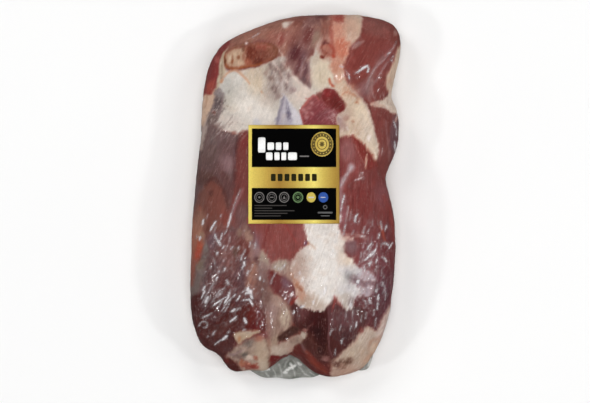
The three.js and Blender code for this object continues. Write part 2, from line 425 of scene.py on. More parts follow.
def blob(cx, cy, rx, ry, turn=0.0, soft=0.35, warp="usual"):
    """1 in the middle of an ellipse, fading out; soft is the share of it that fades."""
    q = WARP[warp]
    c, s = math.cos(math.radians(turn)), math.sin(math.radians(turn))
    dx, dy = q[:, 0] - cx, q[:, 1] - cy
    a, b = (dx * c + dy * s) / rx, (-dx * s + dy * c) / ry
    return smooth((1 + soft - np.hypot(a, b)) / (2 * soft))


# ------------------------------------------------------------ meat: colours
N = len(PTS)
COL = np.zeros((N, 3))
FAT = np.zeros(N)                # how far it is fat
ANG = np.full(N, 88.0)           # direction of the fibres
LIFT = np.zeros(N)               # relief, mm


def tint(mask, colour, fat=None, fibre=None, lift=None, amount=1.0):
    """Lays a colour (0-255) over the meat where mask is 1."""
    global COL, FAT, ANG, LIFT
    m = np.clip(mask * amount, 0, 1)
    c = np.asarray(colour, float)
    COL = COL + (c - COL) * m[:, None]
    if fat is not None:
        FAT = lerp(FAT, fat, m)
    if fibre is not None:
        ANG = np.where(m > 0.5, fibre, ANG)
    if lift is not None:
        LIFT = lerp(LIFT, lift, m)
    return m


BIG = noise(PTS, 26, 2, 3)
MED = noise(PTS, 10, 5, 3)
FIN = noise(PTS, 3.6, 6, 2)

# ground: dark red muscle, mottled between brick red and mauve
COL[:] = (116, 64, 59)
COL += (BIG * 11)[:, None] * np.array([1.0, 0.75, 0.7]) + (MED * 8)[:, None]
MOTTLE = noise(PTS, 17, 7, 3)
tint(smooth(MOTTLE * 2.2), (128, 84, 85), amount=0.45)
tint(smooth(-MOTTLE * 2.2), (114, 52, 46), amount=0.35)

# sides and underside: fat cap with blood stains below the widest line
centre = PIC - np.array([MID_X, MID_Y])
pic_deg = np.degrees(np.arctan2(-centre[:, 1], centre[:, 0]))
past = np.hypot(centre[:, 0], centre[:, 1]) - outline_radius(pic_deg) / UNIT   # >0 below the widest line
cap_edge = 7 + 10 * noise(PTS, 38, 1, 2) + 3 * MED
cap = smooth((past - cap_edge) / 6.0)
tint(cap, (198, 178, 160), fat=1.0, lift=0.5)
tint(cap * smooth(noise(PTS, 30, 4, 3) * 2.2 - 0.1), (184, 136, 114), amount=0.75)
tint(cap * smooth(noise(PTS, 22, 6, 3) * 3 - 0.8), (142, 76, 66), fat=0.5, amount=0.85)
tint(cap * smooth(streaks(60, 9, 40, 3) * 3 - 1.0), (214, 203, 192), amount=0.7)


def patch(points, colour, soft=1.0, warp="usual", **how):
    """A field of colour inside a smooth outline."""
    return tint(area(points, soft, warp), colour, **how)


def dab(x, y, rx, ry, colour, turn=0, soft=0.6, warp="usual", **how):
    """A soft oval of colour."""
    return tint(blob(x, y, rx, ry, turn, soft, warp), colour, **how)


def draw(points, width, colour, soft=0.7, warp="calm", **how):
    """A line of colour."""
    return tint(stroke(points, width, soft, warp), colour, **how)


def hair(angle, across, along, which, where, colour, amount, low=-0.5):
    """Fine threads of colour along a direction, inside a mask."""
    return tint(smooth(streaks(angle, across, along, which) * 2.8 + low) * where, colour, amount=amount)


# --- right half: red muscle with fine upright fibres
patch([(339, 150), (344, 136), (352, 135), (362, 141), (370, 151), (376.6, 160), (382, 172), (390, 186), (398, 215),
       (402, 262), (402, 330), (372, 352), (336, 352), (326, 306), (352, 296), (372, 288), (352, 262), (341, 240),
       (338, 200)], (119, 60, 57), 1.2, fat=0, fibre=88)
dab(348, 150, 8, 12, (146, 98, 97), amount=0.75)
dab(356, 168, 6, 13, (132, 72, 70), 20, amount=0.6)
dab(383, 194, 9, 12, (134, 80, 82), amount=0.7)
dab(362, 206, 12, 18, (112, 54, 52), amount=0.6)
dab(352, 224, 9, 9, (116, 70, 72), amount=0.6)
dab(372, 232, 9, 14, (112, 62, 64), amount=0.6)
patch([(352, 135.5), (361, 140), (369, 149), (375, 158), (374, 168), (367, 168), (361, 159), (357, 149)], (122, 50, 45),
      2.0, amount=0.7)
draw([(352, 135.6), (361, 140.4), (369, 149.5), (376, 160), (382, 174)], 2.0, (134, 60, 50), 1.2, amount=0.7)
draw([(355, 141), (357.5, 149), (361, 157), (365, 164)], 0.9, (172, 122, 114), 0.7, amount=0.7)
draw([(367.6, 154), (366.8, 160), (366.4, 167.5)], [1.0, 1.7, 1.6], (214, 186, 166), 0.7, fat=1, amount=0.9)
# painted highlight: the pale-grey dab, the broad pale stroke below it and the pale stroke down the label's edge put the
# film's highlight into the meat colour
dab(351.3, 167.6, 3.4, 3.6, (178, 165, 168), 20, 0.8, amount=0.8)
draw([(350, 170), (345, 178), (341.5, 187), (340.5, 200)], 4.4, (168, 136, 138), 2.2, amount=0.6)
dab(343, 211, 4, 14, (138, 94, 102), 4, 0.8, "wild", amount=0.6)
draw([(341, 178), (339.5, 196), (339.5, 214)], 2.0, (168, 132, 134), 1.6, amount=0.6)
hair(86, 2.4, 26, 5, blob(362, 200, 20, 34, 0, 0.6), (138, 86, 84), 0.5, -0.35)
hair(84, 2.2, 22, 1, blob(356, 206, 18, 26, 0, 0.6), (98, 44, 44), 0.45, -0.4)
dab(390, 285, 11, 55, (98, 54, 60), amount=0.75)
dab(381, 296, 8, 20, (86, 48, 58), amount=0.8)
dab(366, 312, 22, 22, (90, 50, 53), amount=0.85)
dab(392, 252, 8, 16, (112, 48, 48), amount=0.6)
dab(370, 258, 13, 18, (112, 66, 72), amount=0.6)
hair(84, 2.2, 14, 3, blob(374, 262, 20, 44, 0, 0.5), (140, 98, 108), 0.45, -0.4)
draw([(385, 196), (391, 215), (396, 240), (398.5, 262), (397, 284), (391.5, 305)], 4.6, (138, 60, 54), 2.6, amount=0.7)
dab(350.3, 246.7, 7.5, 8.5, (106, 60, 64), soft=0.3, amount=0.9)
draw([(344, 235), (351, 234), (361, 236), (368, 241)], 2.0, (160, 118, 112), 1.2, amount=0.5)
draw([(380.5, 225.5), (383.5, 232), (385.8, 240.6)], 2.4, (162, 78, 62), 1.0, amount=0.8)
draw([(358.6, 236.6), (365.4, 235.8)], 1.6, (178, 140, 132), 1.0, amount=0.7)

# --- dark muscle at the bottom middle
patch([(289, 303), (300, 305), (312, 312), (322, 308), (332, 298), (336, 306), (352, 306), (366, 312), (363, 330),
       (352, 345), (337, 360), (332, 368), (318, 366), (306, 356), (296, 344), (300, 332), (292, 322)], (76, 43, 41), 1.4,
      "frayed", fat=0, fibre=84, lift=-0.6)
dab(318, 322, 13, 17, (60, 30, 29), amount=0.9)
dab(318.5, 336, 7, 9, (48, 24, 22), amount=0.8)
dab(321, 348, 6.5, 9.5, (58, 33, 30), 8, 0.3, amount=0.95)
draw([(316.6, 343), (315.8, 350), (318.6, 355.6), (323, 357), (326.4, 351), (325.6, 344)], 0.9, (92, 60, 55), 0.7, amount=0.8)
draw([(317, 347), (320, 346.6), (323.6, 351.6)], 1.1, (98, 70, 64), 0.8, amount=0.7)
dab(299, 313, 9, 9, (92, 56, 56), amount=0.8)
dab(347, 320, 15, 14, (98, 66, 68), amount=0.8)
dab(346, 337, 9, 9, (70, 42, 43), amount=0.75)
dab(307, 341, 9, 8, (80, 47, 42), 30, 0.5, amount=0.8)
draw([(328.4, 308), (329, 322), (328.4, 338), (329.5, 350), (333, 358)], 1.2, (124, 84, 86), 0.9, amount=0.8)
dab(331, 318, 3, 12, (98, 64, 66), amount=0.7)
draw([(313, 332), (311.5, 340), (313, 352), (318, 358)], 0.9, (98, 62, 58), 0.7, amount=0.5)
draw([(336, 300), (333.5, 306), (331.5, 312)], 1.6, (126, 62, 60), 1.0, amount=0.7)

# --- upper right lobe of muscle
patch([(359.4, 14), (370, 15), (384, 19), (394, 26), (402, 36), (405, 44), (403, 56), (399, 68), (394, 82), (388, 96),
       (381, 103.5), (372, 104.6), (366, 102.6), (360, 96.6), (353, 90.6), (346.6, 84), (342.6, 74), (343, 66), (345, 58.6),
       (349, 50), (352, 44), (358, 41), (362, 38.4), (360.6, 34), (359, 27)], (124, 65, 60), 1.3, "ragged", fat=0, fibre=62)
dab(376, 27, 16, 8, (131, 82, 76), 20, amount=0.8)
dab(399, 40, 6, 16, (116, 60, 52), -12, amount=0.7)
dab(357, 62, 10, 14, (124, 60, 55), 20, amount=0.8)
dab(384, 60, 8, 16, (128, 74, 72), 30, amount=0.6)
dab(368, 88, 11, 8, (134, 98, 98), -25, amount=0.85)
dab(379, 91, 7.5, 10.5, (122, 64, 60), soft=0.45, amount=0.9)
draw([(376.2, 99.4), (377.2, 95.6), (380.2, 95), (382, 98)], 1.1, (96, 50, 46), 0.7, amount=0.7)
draw([(372.8, 79), (372.2, 88), (373.4, 95), (376, 99.6)], 1.8, (158, 128, 124), 1.2, amount=0.7)
draw([(376, 100.4), (380, 101.6), (384.6, 99.6), (387.8, 94)], 2.2, (84, 44, 42), 1.3, amount=0.8)
draw([(374, 80), (379, 77.6), (385, 78), (388, 81)], 1.4, (96, 52, 48), 1.0, amount=0.5)
draw([(352.6, 48.2), (358, 44.6), (363.9, 40.6)], 2.6, (168, 138, 132), 1.4, amount=0.7)
draw([(395.6, 45.2), (388, 53), (379, 62.5), (372.2, 71), (368.5, 80), (367, 90)], 2.2, (156, 116, 114), 1.6, amount=0.7)
draw([(388, 60), (382, 70), (377, 82)], 1.6, (144, 98, 96), 1.4, amount=0.5)
draw([(383, 57), (376.6, 67), (371.4, 77), (369.4, 88), (370, 100)], [2.0, 3.4, 4.6, 5.0, 4.4], (144, 110, 107), 2.4, "frayed",
     amount=0.6)
dab(396.3, 32.3, 2.4, 3, (160, 122, 112), amount=0.7)

# --- right muscle under the fold
patch([(371.4, 105), (378.2, 106.6), (384.3, 108.9), (390.3, 111.9), (396, 114), (403, 114), (404, 132), (400, 150),
       (392, 170), (386, 182), (381, 172), (378, 160), (376.7, 143), (374.5, 128)], (117, 63, 59), 1.0, fat=0, fibre=82)
dab(396, 134, 5, 20, (103, 74, 79), 5, 0.5, amount=0.85)
dab(383, 150, 4, 6, (128, 78, 74), amount=0.6)
draw([(385.8, 122), (387.2, 130), (388.8, 141), (389.6, 152), (389.6, 160)], 2.0, (142, 104, 102), 1.5, "usual", amount=0.7)
draw([(398.4, 112), (397.6, 117), (396.2, 122)], 1.8, (206, 168, 150), 1.0, amount=0.7)

# --- left side: grey-mauve meat under silver skin, red-brown lobes
patch([(196, 128), (212, 127), (232, 131), (246, 124), (250, 140), (250, 232), (238, 246), (220, 240), (200, 236),
       (186, 236)], (103, 79, 78), 2.0, fat=0, fibre=74)
dab(208, 150, 9, 16, (98, 76, 72), 10, amount=0.8)
dab(226, 163, 8, 10, (117, 90, 90), 10, amount=0.75)
dab(218, 172, 8, 9, (92, 64, 63), amount=0.7)
dab(204, 178, 10, 8, (90, 62, 57), 20, amount=0.85)
dab(229, 150, 7, 8, (96, 69, 69), amount=0.75)
hair(54, 2.2, 22, 3, blob(214, 152, 20, 26, 10, 0.5), (128, 108, 105), 0.6, -0.6)
hair(78, 2.0, 20, 6, blob(216, 168, 22, 34, 0, 0.5), (122, 98, 98), 0.4, -0.7)
for line in ([(213, 133), (208, 141), (203, 150)], [(222, 137), (214, 147), (208, 156)], [(228, 158), (231, 164), (230, 172)]):
    draw(line, 3.0, (134, 114, 112), 2.0, amount=0.4)
dab(227.5, 163, 5, 8, (140, 108, 110), amount=0.7)
draw([(206, 118), (204.4, 128), (202, 138), (200.6, 149)], 3.2, (176, 160, 148), 2.0, amount=0.8)
dab(212, 140, 4, 5, (112, 94, 92), 30, amount=0.7)
patch([(240, 133), (249, 127), (252, 160), (252, 236), (243, 232), (233, 226), (230, 212), (233, 195), (234, 172),
       (236, 150)], (109, 61, 57), 2.0, fat=0, fibre=76)
dab(243, 176, 6, 16, (114, 62, 58), amount=0.6)
dab(245, 142, 4, 9, (118, 54, 52), 10, amount=0.7)
draw([(240, 136), (236, 148), (234.4, 162), (233.4, 180), (229, 200)], 3.0, (85, 51, 50), 2.0, amount=0.8)
draw([(233.6, 149), (234.6, 157), (235, 166)], 1.4, (116, 94, 100), 1.0, amount=0.6)
patch([(188, 226), (195, 206), (199, 194), (205, 185), (212, 180), (218, 184), (223, 193), (227, 206), (231, 222),
       (222, 238), (202, 238)], (113, 68, 60), 2.2, fat=0, fibre=70)
dab(209, 192, 6, 7, (120, 74, 65), amount=0.6)
dab(219, 207, 5, 9, (122, 73, 65), amount=0.6)
dab(210.5, 193.4, 2.4, 3.2, (88, 54, 48), amount=0.75)
dab(201, 200, 4, 12, (112, 78, 70), 15, amount=0.6)
patch([(221, 172), (228, 175), (233, 186), (231, 204), (228, 206), (223, 192)], (96, 64, 62), 2.6, amount=0.8)
draw([(205, 185), (210, 180), (215, 178), (222, 188), (226, 198), (228, 207), (226, 215)], 2.8, (86, 50, 45), 1.8,
     amount=0.75)
dab(199.4, 209, 1.8, 3.6, (150, 74, 60), amount=0.8)
draw([(243, 188), (238.5, 199), (234, 210), (231, 219)], 1.5, (150, 108, 112), 1.1, amount=0.7)
dab(243, 214, 6, 12, (100, 72, 71), amount=0.8)
patch([(238, 207), (246, 208), (252, 222), (254, 238), (246, 248), (238, 236), (234, 222)], (106, 76, 74), 2.6, fat=0.15,
      amount=0.65)
dab(226, 218, 6, 9, (124, 64, 57), amount=0.7)

# --- middle left: mottled purple-red
patch([(206, 238), (222, 230), (246, 234), (257, 250), (261, 276), (262, 300), (240, 306), (214, 300), (202, 290),
       (208, 268)], (106, 67, 66), 3.4, fat=0, fibre=64)
dab(229, 259, 11, 13, (127, 84, 78), 10, amount=0.7)
dab(231, 243, 9, 8, (124, 78, 74), 10, amount=0.6)
dab(236, 251, 3, 6, (98, 74, 64), 10, amount=0.7)
dab(243, 272, 8, 15, (100, 70, 75), 15, amount=0.75)
dab(244.6, 247, 7, 9, (114, 60, 52), amount=0.8)
dab(249, 253.6, 4, 4, (102, 48, 42), amount=0.8)
dab(224, 284, 12, 8, (100, 56, 54), amount=0.7)
dab(216, 270, 6, 12, (108, 78, 80), 25, amount=0.6)
hair(60, 2.6, 14, 1, blob(228, 262, 26, 32, 0, 0.4), (150, 108, 104), 0.45, -0.5)
hair(54, 3.0, 16, 5, blob(226, 270, 26, 36, 0, 0.4), (96, 60, 60), 0.45, -0.6)
draw([(232, 272), (238, 266), (243, 262)], 1.4, (152, 112, 102), 1.2, amount=0.5)
# beige strand down the left of the red muscle
dab(239.6, 233.4, 3, 5, (140, 112, 98), 10, amount=0.8)
dab(248.2, 237.6, 3.6, 6, (158, 132, 117), -14, 0.7, "wild", fat=0.4, amount=0.85)
dab(246, 228, 2.6, 5, (132, 104, 92), -10, 0.8, amount=0.7)
dab(257, 246, 2.8, 5, (146, 122, 126), 8, 0.8, amount=0.8)
draw([(250.6, 242), (253.6, 247), (255.6, 252)], 2.6, (128, 100, 98), 1.8, "usual", amount=0.6)
# grey silver skin at the left edge, with the orange-red rim outside it
patch([(186, 222), (199, 226), (204, 240), (200, 254), (194, 270), (184, 280)], (148, 96, 78), 2.2, fat=0.2, fibre=75)
dab(198, 222, 6, 13, (150, 108, 90), 8, amount=0.8)
dab(200.4, 236, 3, 4, (140, 118, 98), 8, amount=0.7)
patch([(205.4, 240), (208.4, 248), (208, 256), (206.2, 265), (204.2, 275), (201.6, 286), (199, 296), (192, 306), (186, 306),
       (188, 290), (191.6, 275), (195.6, 262), (200.6, 250)], (114, 99, 95), 4.2, "wild", fat=0.2, fibre=66)
hair(66, 2.4, 18, 5, blob(201, 274, 9, 30, 12, 0.7), (100, 80, 84), 0.55, -0.3)
draw([(209, 256), (206, 268), (204, 280), (200, 294)], 2.6, (98, 74, 78), 2.2, "wild", amount=0.6)
dab(212, 241, 4, 9, (106, 82, 88), 12, amount=0.8)
dab(205.4, 248, 2.2, 4.4, (126, 116, 112), 10, amount=0.8)
dab(199.4, 265, 3, 6, (134, 116, 98), 15, amount=0.7)
draw([(201, 268), (198, 279), (194.6, 291)], 3.6, (124, 114, 108), 2.4, amount=0.5)
dab(198.6, 240, 2, 3.6, (146, 78, 60), 14, amount=0.6)
dab(197.4, 252, 3.2, 9, (164, 68, 48), 12, 0.8, amount=0.95)
dab(199.6, 246, 2.4, 4, (168, 86, 62), 10, 0.8, amount=0.6)
draw([(193.6, 262), (192.4, 273), (191.4, 285)], 3.0, (150, 82, 66), 2.0, amount=0.8)

# --- bottom left: dark red-brown meat
patch([(186, 298), (204, 294), (226, 298), (250, 300), (264, 300), (270, 312), (268, 330), (246, 334), (236, 346),
       (244, 356), (228, 366), (214, 362), (196, 352), (184, 334), (184, 312)], (88, 46, 43), 2.6, fat=0, fibre=60)
dab(257, 316, 11, 14, (100, 42, 38), amount=0.85)
dab(256, 327, 9, 5, (94, 34, 31), amount=0.8)
for x, y, rx, ry, turn in ((220, 309.6, 6, 4, 20), (212.9, 318, 5, 5, 0), (237.8, 303, 5, 3.6, 0), (205, 304, 6, 9, 20)):
    dab(x, y, rx, ry, (94, 60, 63), turn, amount=0.7)
dab(222, 327, 11, 4, (100, 62, 58), -28, amount=0.65)
dab(216, 334, 9, 4, (98, 62, 58), -28, amount=0.6)
dab(232, 351, 12, 5, (90, 62, 62), 15, amount=0.6)
dab(231, 338, 3.4, 6, (80, 46, 46), amount=0.6)
patch([(224, 357), (232, 357), (240, 362), (243, 370), (238, 376), (228, 376), (222, 366)], (84, 42, 38), 1.4, fat=0,
      lift=0.6)
dab(226.4, 361, 1.6, 2.4, (128, 48, 42), -30, amount=0.6)

# --- red striated muscle under the label
patch([(250, 214), (306, 214), (306, 230), (307, 241), (304, 246), (299, 249), (295.5, 254.5), (290, 259.3), (280, 261.5),
       (270, 262), (263, 256), (257, 246), (253, 232)], (128, 70, 66), 1.3, fat=0, fibre=84, lift=0.5)
dab(266, 232, 10, 12, (126, 68, 64), amount=0.6)
dab(300, 234, 6, 10, (132, 78, 76), amount=0.7)
dab(258, 241, 5, 10, (120, 80, 82), 14, amount=0.7)
draw([(284, 222), (289, 231), (297, 243)], 1.3, (142, 60, 56), 0.9, amount=0.75)
draw([(268.6, 226), (266, 236), (263.6, 248)], 1.8, (108, 46, 44), 1.2, amount=0.7)
draw([(276, 224), (277.5, 240), (279, 256)], 1.2, (140, 84, 78), 1.2, amount=0.4)
draw([(254, 226), (256, 236), (260, 250)], 2.0, (118, 88, 96), 1.6, amount=0.5)

# --- beige tissue and fat between the muscles in the middle
patch([(252, 244), (258, 248), (263, 252), (268, 258), (274, 262), (288, 260), (295, 264), (294, 282), (287, 280),
       (276, 272), (268, 272), (262, 270), (254, 266), (249, 254)], (140, 112, 106), 2.2, "frayed", fat=0.5)
dab(256, 250, 3.4, 8, (130, 104, 107), 8, amount=0.7)
dab(256.3, 260.4, 2.8, 3.6, (90, 45, 44), fat=0, amount=0.85)
patch([(258.4, 264), (260, 256), (262.6, 249.6), (266, 254), (268.6, 262), (266, 268)], (165, 146, 131), 2.0, "frayed",
      fat=1, amount=0.9)
dab(280.4, 266.6, 7.5, 6, (163, 149, 135), 12, 0.7, "wild", fat=1, lift=0.5, amount=0.9)
dab(290.4, 273, 3.6, 9, (150, 126, 113), -8, 0.7, "frayed", fat=0.7, amount=0.8)
hair(70, 1.7, 10, 4, blob(276, 266, 20, 9, 10, 0.5), (192, 176, 162), 0.55, -0.4)
hair(76, 1.7, 9, 6, blob(272, 268, 20, 9, 10, 0.5), (112, 82, 78), 0.5, -0.5)
patch([(247, 262), (254, 264), (259, 276), (258, 298), (249, 292), (245, 276)], (138, 94, 84), 2.8, fat=0.3, amount=0.8)
draw([(254.4, 263), (252.8, 271), (250, 279), (247.4, 287)], 4.6, (168, 126, 108), 2.4, "frayed", amount=0.8)
draw([(256.4, 268), (255.6, 277), (253.6, 286)], 1.8, (176, 138, 120), 1.4, "frayed", amount=0.6)
hair(72, 1.8, 14, 2, blob(254, 286, 9, 22, 0, 0.5), (156, 110, 94), 0.5, -0.5)
patch([(259, 262), (268, 266), (270, 284), (270, 300), (262, 298), (257, 278)], (140, 116, 111), 2.8, fat=0.3, amount=0.75)
patch([(267.6, 271), (273, 272), (279, 275.4), (286, 279), (291.4, 283.4), (293, 290), (291.6, 299), (289, 306.5),
       (284, 301), (277, 294.6), (272, 288), (269, 279)], (106, 55, 54), 1.8, "frayed", fat=0, fibre=66, lift=-0.4)
dab(285.4, 283.4, 4.4, 6.4, (116, 88, 97), -28, amount=0.8)
dab(271.6, 276.6, 2.8, 5.4, (108, 46, 44), -15, amount=0.8)
dab(282, 294, 4, 6, (98, 48, 48), -40, amount=0.6)

# --- the big white fat under the label
big_fat = area([(305.5, 214), (338.4, 214), (338.6, 226), (341.4, 232.4), (345, 236.2), (350, 237.2), (354.6, 239.6),
                (351, 243), (346, 243.4), (344.4, 247.4), (345, 251.6), (348, 255.4), (353.6, 257.6), (353, 262),
                (358, 265.8), (360.6, 270), (357, 276), (354, 282), (357.6, 287), (359, 292),
                (356.4, 295.6), (353.6, 301), (353.4, 307), (349, 310), (343, 306), (339, 302), (334.4, 297),
                (331, 301.6), (327, 307), (322, 310), (313, 310.6), (304, 307.6), (298, 305.6), (294, 302), (296, 296),
                (294.6, 288), (292.6, 278), (291.4, 268), (292.4, 261), (295.6, 257), (298.6, 251), (303, 247.4),
                (306, 245.4), (307.6, 241), (305.8, 233)], 1.9, "fringe")
LAPPET = 0.78 + 0.22 * smooth(streaks(76, 1.8, 11, 5) * 2.4 + 0.2)
upper_lappet = area([(350, 262), (358, 265), (367, 270), (375.6, 275.4), (374.8, 280.6), (366, 281), (358, 279), (350, 276)],
                    2.6, "fringe") * LAPPET
lower_lappet = area([(350, 281), (358, 284.4), (366, 286), (373, 286.4), (373.6, 291), (372, 296), (364, 295.4), (357, 297),
                     (350, 298)], 2.8, "fringe") * LAPPET
tint(upper_lappet, (182, 175, 180), fat=0.8, lift=0.8, fibre=74)
tint(lower_lappet, (184, 178, 182), fat=0.8, lift=0.8, fibre=74)
tint(big_fat, (219, 211, 205), fat=1, lift=1.2, fibre=74)
tint(blob(322, 262, 16, 24, 0, 0.5) * big_fat, (225, 218, 212), amount=0.7)
tint(blob(298.6, 262, 9.4, 18, -14, 0.9, "wild") * big_fat, (176, 151, 139), amount=0.9)
tint(blob(295.2, 273, 4, 11, -8, 0.7, "wild") * big_fat, (172, 142, 130), amount=0.85)
tint(blob(297, 289, 6, 9, -22, 0.8, "wild") * big_fat, (180, 138, 120), amount=0.9)
tint(blob(306, 301.6, 10, 8, 0, 0.7, "fringe") * big_fat, (166, 140, 124), amount=0.9)
tint(blob(317, 306, 10, 5.4, 0, 0.8, "fringe") * big_fat, (180, 160, 146), amount=0.85)
tint(blob(347, 238.4, 6, 3.4, 12, 0.7) * big_fat, (190, 152, 138), amount=0.85)
tint(blob(349, 260, 9, 7, 30, 0.8) * big_fat, (206, 186, 167), amount=0.85)
tint(blob(341, 254, 4, 13, 8, 0.9, "fringe") * big_fat, (204, 186, 172), amount=0.7)
tint(blob(362, 272, 9, 8, 27, 0.8, "fringe") * big_fat, (184, 178, 182), amount=0.8)
tint(blob(348, 271, 7, 5, 20, 0.8) * big_fat, (190, 182, 182), amount=0.8)
tint(blob(372, 279.6, 5, 4, 20, 0.9, "fringe") * upper_lappet, (158, 144, 150), amount=0.8)
tint(blob(352, 290, 12, 8, 5, 0.8, "fringe") * big_fat, (190, 184, 186), amount=0.7)
tint(blob(370, 290.6, 5, 6.4, 0, 0.9, "fringe") * lower_lappet, (146, 130, 138), amount=0.85)
tint(blob(347, 301.6, 6, 6.4, 0, 0.7, "wild") * big_fat, (174, 160, 150), amount=0.85)
tint(blob(352, 302, 3.6, 5, 0, 0.7) * big_fat, (138, 122, 122), amount=0.85)
tint(blob(337.6, 299.6, 3, 4, 0, 0.8) * big_fat, (190, 168, 156), amount=0.7)
hair(74, 1.7, 16, 2, big_fat * blob(303, 262, 12, 26, -10, 0.6), (166, 138, 128), 0.6, -0.5)
hair(84, 2.0, 26, 4, big_fat * blob(324, 236, 18, 24, 0, 0.5), (190, 176, 168), 0.6, -0.4)
hair(70, 2.2, 22, 6, big_fat * blob(318, 262, 20, 24, 0, 0.5), (192, 178, 168), 0.5, -0.4)
hair(68, 2.4, 20, 1, big_fat, (236, 232, 229), 0.5, -0.35)
hair(104, 2.0, 18, 3, big_fat * blob(338, 288, 14, 20, 0, 0.5), (194, 182, 176), 0.5, -0.4)
# dark gap between the two grey lappets
dab(349, 276.8, 4.6, 4.4, (126, 122, 122), 10, 0.9, "fringe", amount=0.75)
dab(354.6, 279.4, 4.8, 4, (108, 88, 94), 10, 0.9, "fringe", fat=0.3, amount=0.8)
patch([(356, 280), (364, 281), (373, 282), (373, 286), (366, 286.4), (358, 284.8)], (126, 106, 114), 2.6,
      "fringe", fat=0.4, amount=0.8)
hair(74, 1.8, 9, 5, blob(360, 281, 17, 11, 18, 0.6), (126, 114, 122), 0.7, -0.35)
hair(74, 1.8, 10, 3, blob(359, 283, 19, 15, 20, 0.7), (206, 202, 206), 0.7, -0.45)
# dark oval beside the fat
dab(351.6, 248, 7.4, 8, (116, 72, 73), 0, 0.4, "frayed", fat=0, amount=0.92)
dab(351.6, 246.6, 5.2, 5.4, (122, 92, 95), 0, 0.8, "frayed", fat=0, amount=0.8)
draw([(345, 251), (348.4, 254.8), (353.6, 256.4)], 2.4, (108, 56, 55), 1.4, fat=0, amount=0.7)
draw([(344.6, 236.4), (352, 236.6), (361, 237), (368, 238.6)], 2.4, (170, 134, 130), 2.0, "wild", amount=0.5)
dab(307.4, 243.4, 2.2, 1.8, (156, 92, 66), -20, 0.5, "calm", fat=0, amount=0.8)
dab(305.6, 243.2, 1.9, 2.4, (104, 66, 88), 20, 0.5, "calm", amount=0.85)
draw([(308.6, 243.6), (312, 245.4), (315.4, 249)], 1.5, (184, 140, 116), 1.0, amount=0.7)
draw([(292.6, 273), (294.6, 281), (298, 287.4), (302.6, 292)], [2.4, 3.4, 3.2, 2.4], (164, 110, 84), 2.0, "wild", amount=0.75)
draw([(296, 284), (299, 288), (302, 291)], 1.5, (136, 74, 56), 1.1, "usual", amount=0.7)
dab(302, 296.6, 4, 3.4, (182, 128, 104), 20, 0.9, "wild", amount=0.6)
draw([(290.6, 304.4), (293.6, 300.4), (297.4, 296.4)], [3.6, 3.0, 1.6], (130, 52, 46), 1.2, fat=0, amount=0.9)
draw([(334.4, 296), (334.4, 301), (332.6, 307)], 2.4, (140, 70, 66), 1.4, fat=0, amount=0.8)
draw([(334.6, 297.6), (338, 302), (342.6, 307)], 1.6, (150, 92, 86), 1.2, fat=0.3, amount=0.6)

# --- pale strands at the bottom left of the middle
strand = area([(261, 278), (267, 288), (275, 294), (283, 300), (289, 308), (292, 318), (290.5, 328), (284, 334),
               (279, 340), (277, 348), (272, 353), (269, 345), (268.4, 336), (267, 325), (266, 314), (263, 304),
               (260.5, 292)], 3.0, "frayed")
tint(strand, (132, 108, 98), fat=0.7, lift=0.8, fibre=78)
dab(264, 300, 5, 14, (128, 98, 96), -10, 0.7, amount=0.75)
tint(blob(278, 303, 8.4, 7, 30, 0.7) * strand, (160, 136, 124), amount=0.85)
tint(blob(266, 292, 5, 14, -12, 0.8) * strand, (128, 98, 90), amount=0.7)
tint(blob(272, 313, 5, 9, 0, 0.7) * strand, (148, 125, 121), amount=0.8)
tint(blob(285.6, 318, 5, 10.5, 4, 0.6) * strand, (180, 164, 146), amount=0.95)
tint(blob(275, 343, 5.4, 10, 5, 0.7) * strand, (158, 138, 120), amount=0.85)
tint(blob(269.4, 326, 3, 12, 0, 0.7) * strand, (136, 106, 100), amount=0.7)
dab(262, 286, 6, 12, (118, 86, 82), -8, 0.9, "wild", amount=0.6)
hair(80, 2.0, 18, 6, strand, (174, 152, 140), 0.5, -0.4)
hair(76, 2.0, 16, 3, strand, (104, 76, 74), 0.5, -0.45)
cross = area([(268, 348), (276, 345), (284, 342), (291, 338.5), (297, 335), (302, 333), (306, 332), (306, 336), (302.5, 340.5),
              (299, 344), (294.5, 348), (290, 353), (283, 356), (272, 355.4), (267.5, 353)], 1.6)
tint(cross, (163, 140, 126), fat=1, lift=0.9)
tint(blob(277, 350, 8.4, 4.4, 4, 0.6) * cross, (184, 165, 150), amount=0.85)
tint(blob(302.2, 335.6, 2.6, 2.2, 0, 0.5) * cross, (184, 170, 156), amount=0.9)
tint(blob(295, 341.6, 6, 3.4, 32, 0.7) * cross, (144, 118, 104), amount=0.7)
dab(291, 350.6, 3.4, 2.6, (180, 146, 132), 30, 0.6, amount=0.7)
patch([(277.5, 338), (282, 333.4), (288, 330), (296, 327), (299.6, 329.6), (295.5, 334.5), (287, 340.4), (281, 342)],
      (74, 48, 43), 1.7, fat=0, lift=-0.6)
hair(74, 1.6, 8, 4, blob(288, 334, 11, 6, 30, 0.4), (98, 68, 60), 0.6, -0.3)
dab(304.8, 330.6, 3.6, 1.6, (166, 116, 106), -14, 0.5, amount=0.8)
draw([(307, 328.6), (310, 325.8), (312.6, 324.6)], 1.6, (116, 78, 74), 1.3, "usual", amount=0.6)
patch([(268, 356), (277, 356.5), (287, 355), (281, 361), (274, 365.5), (266, 368)], (106, 38, 36), 1.2, fat=0, lift=-0.6)

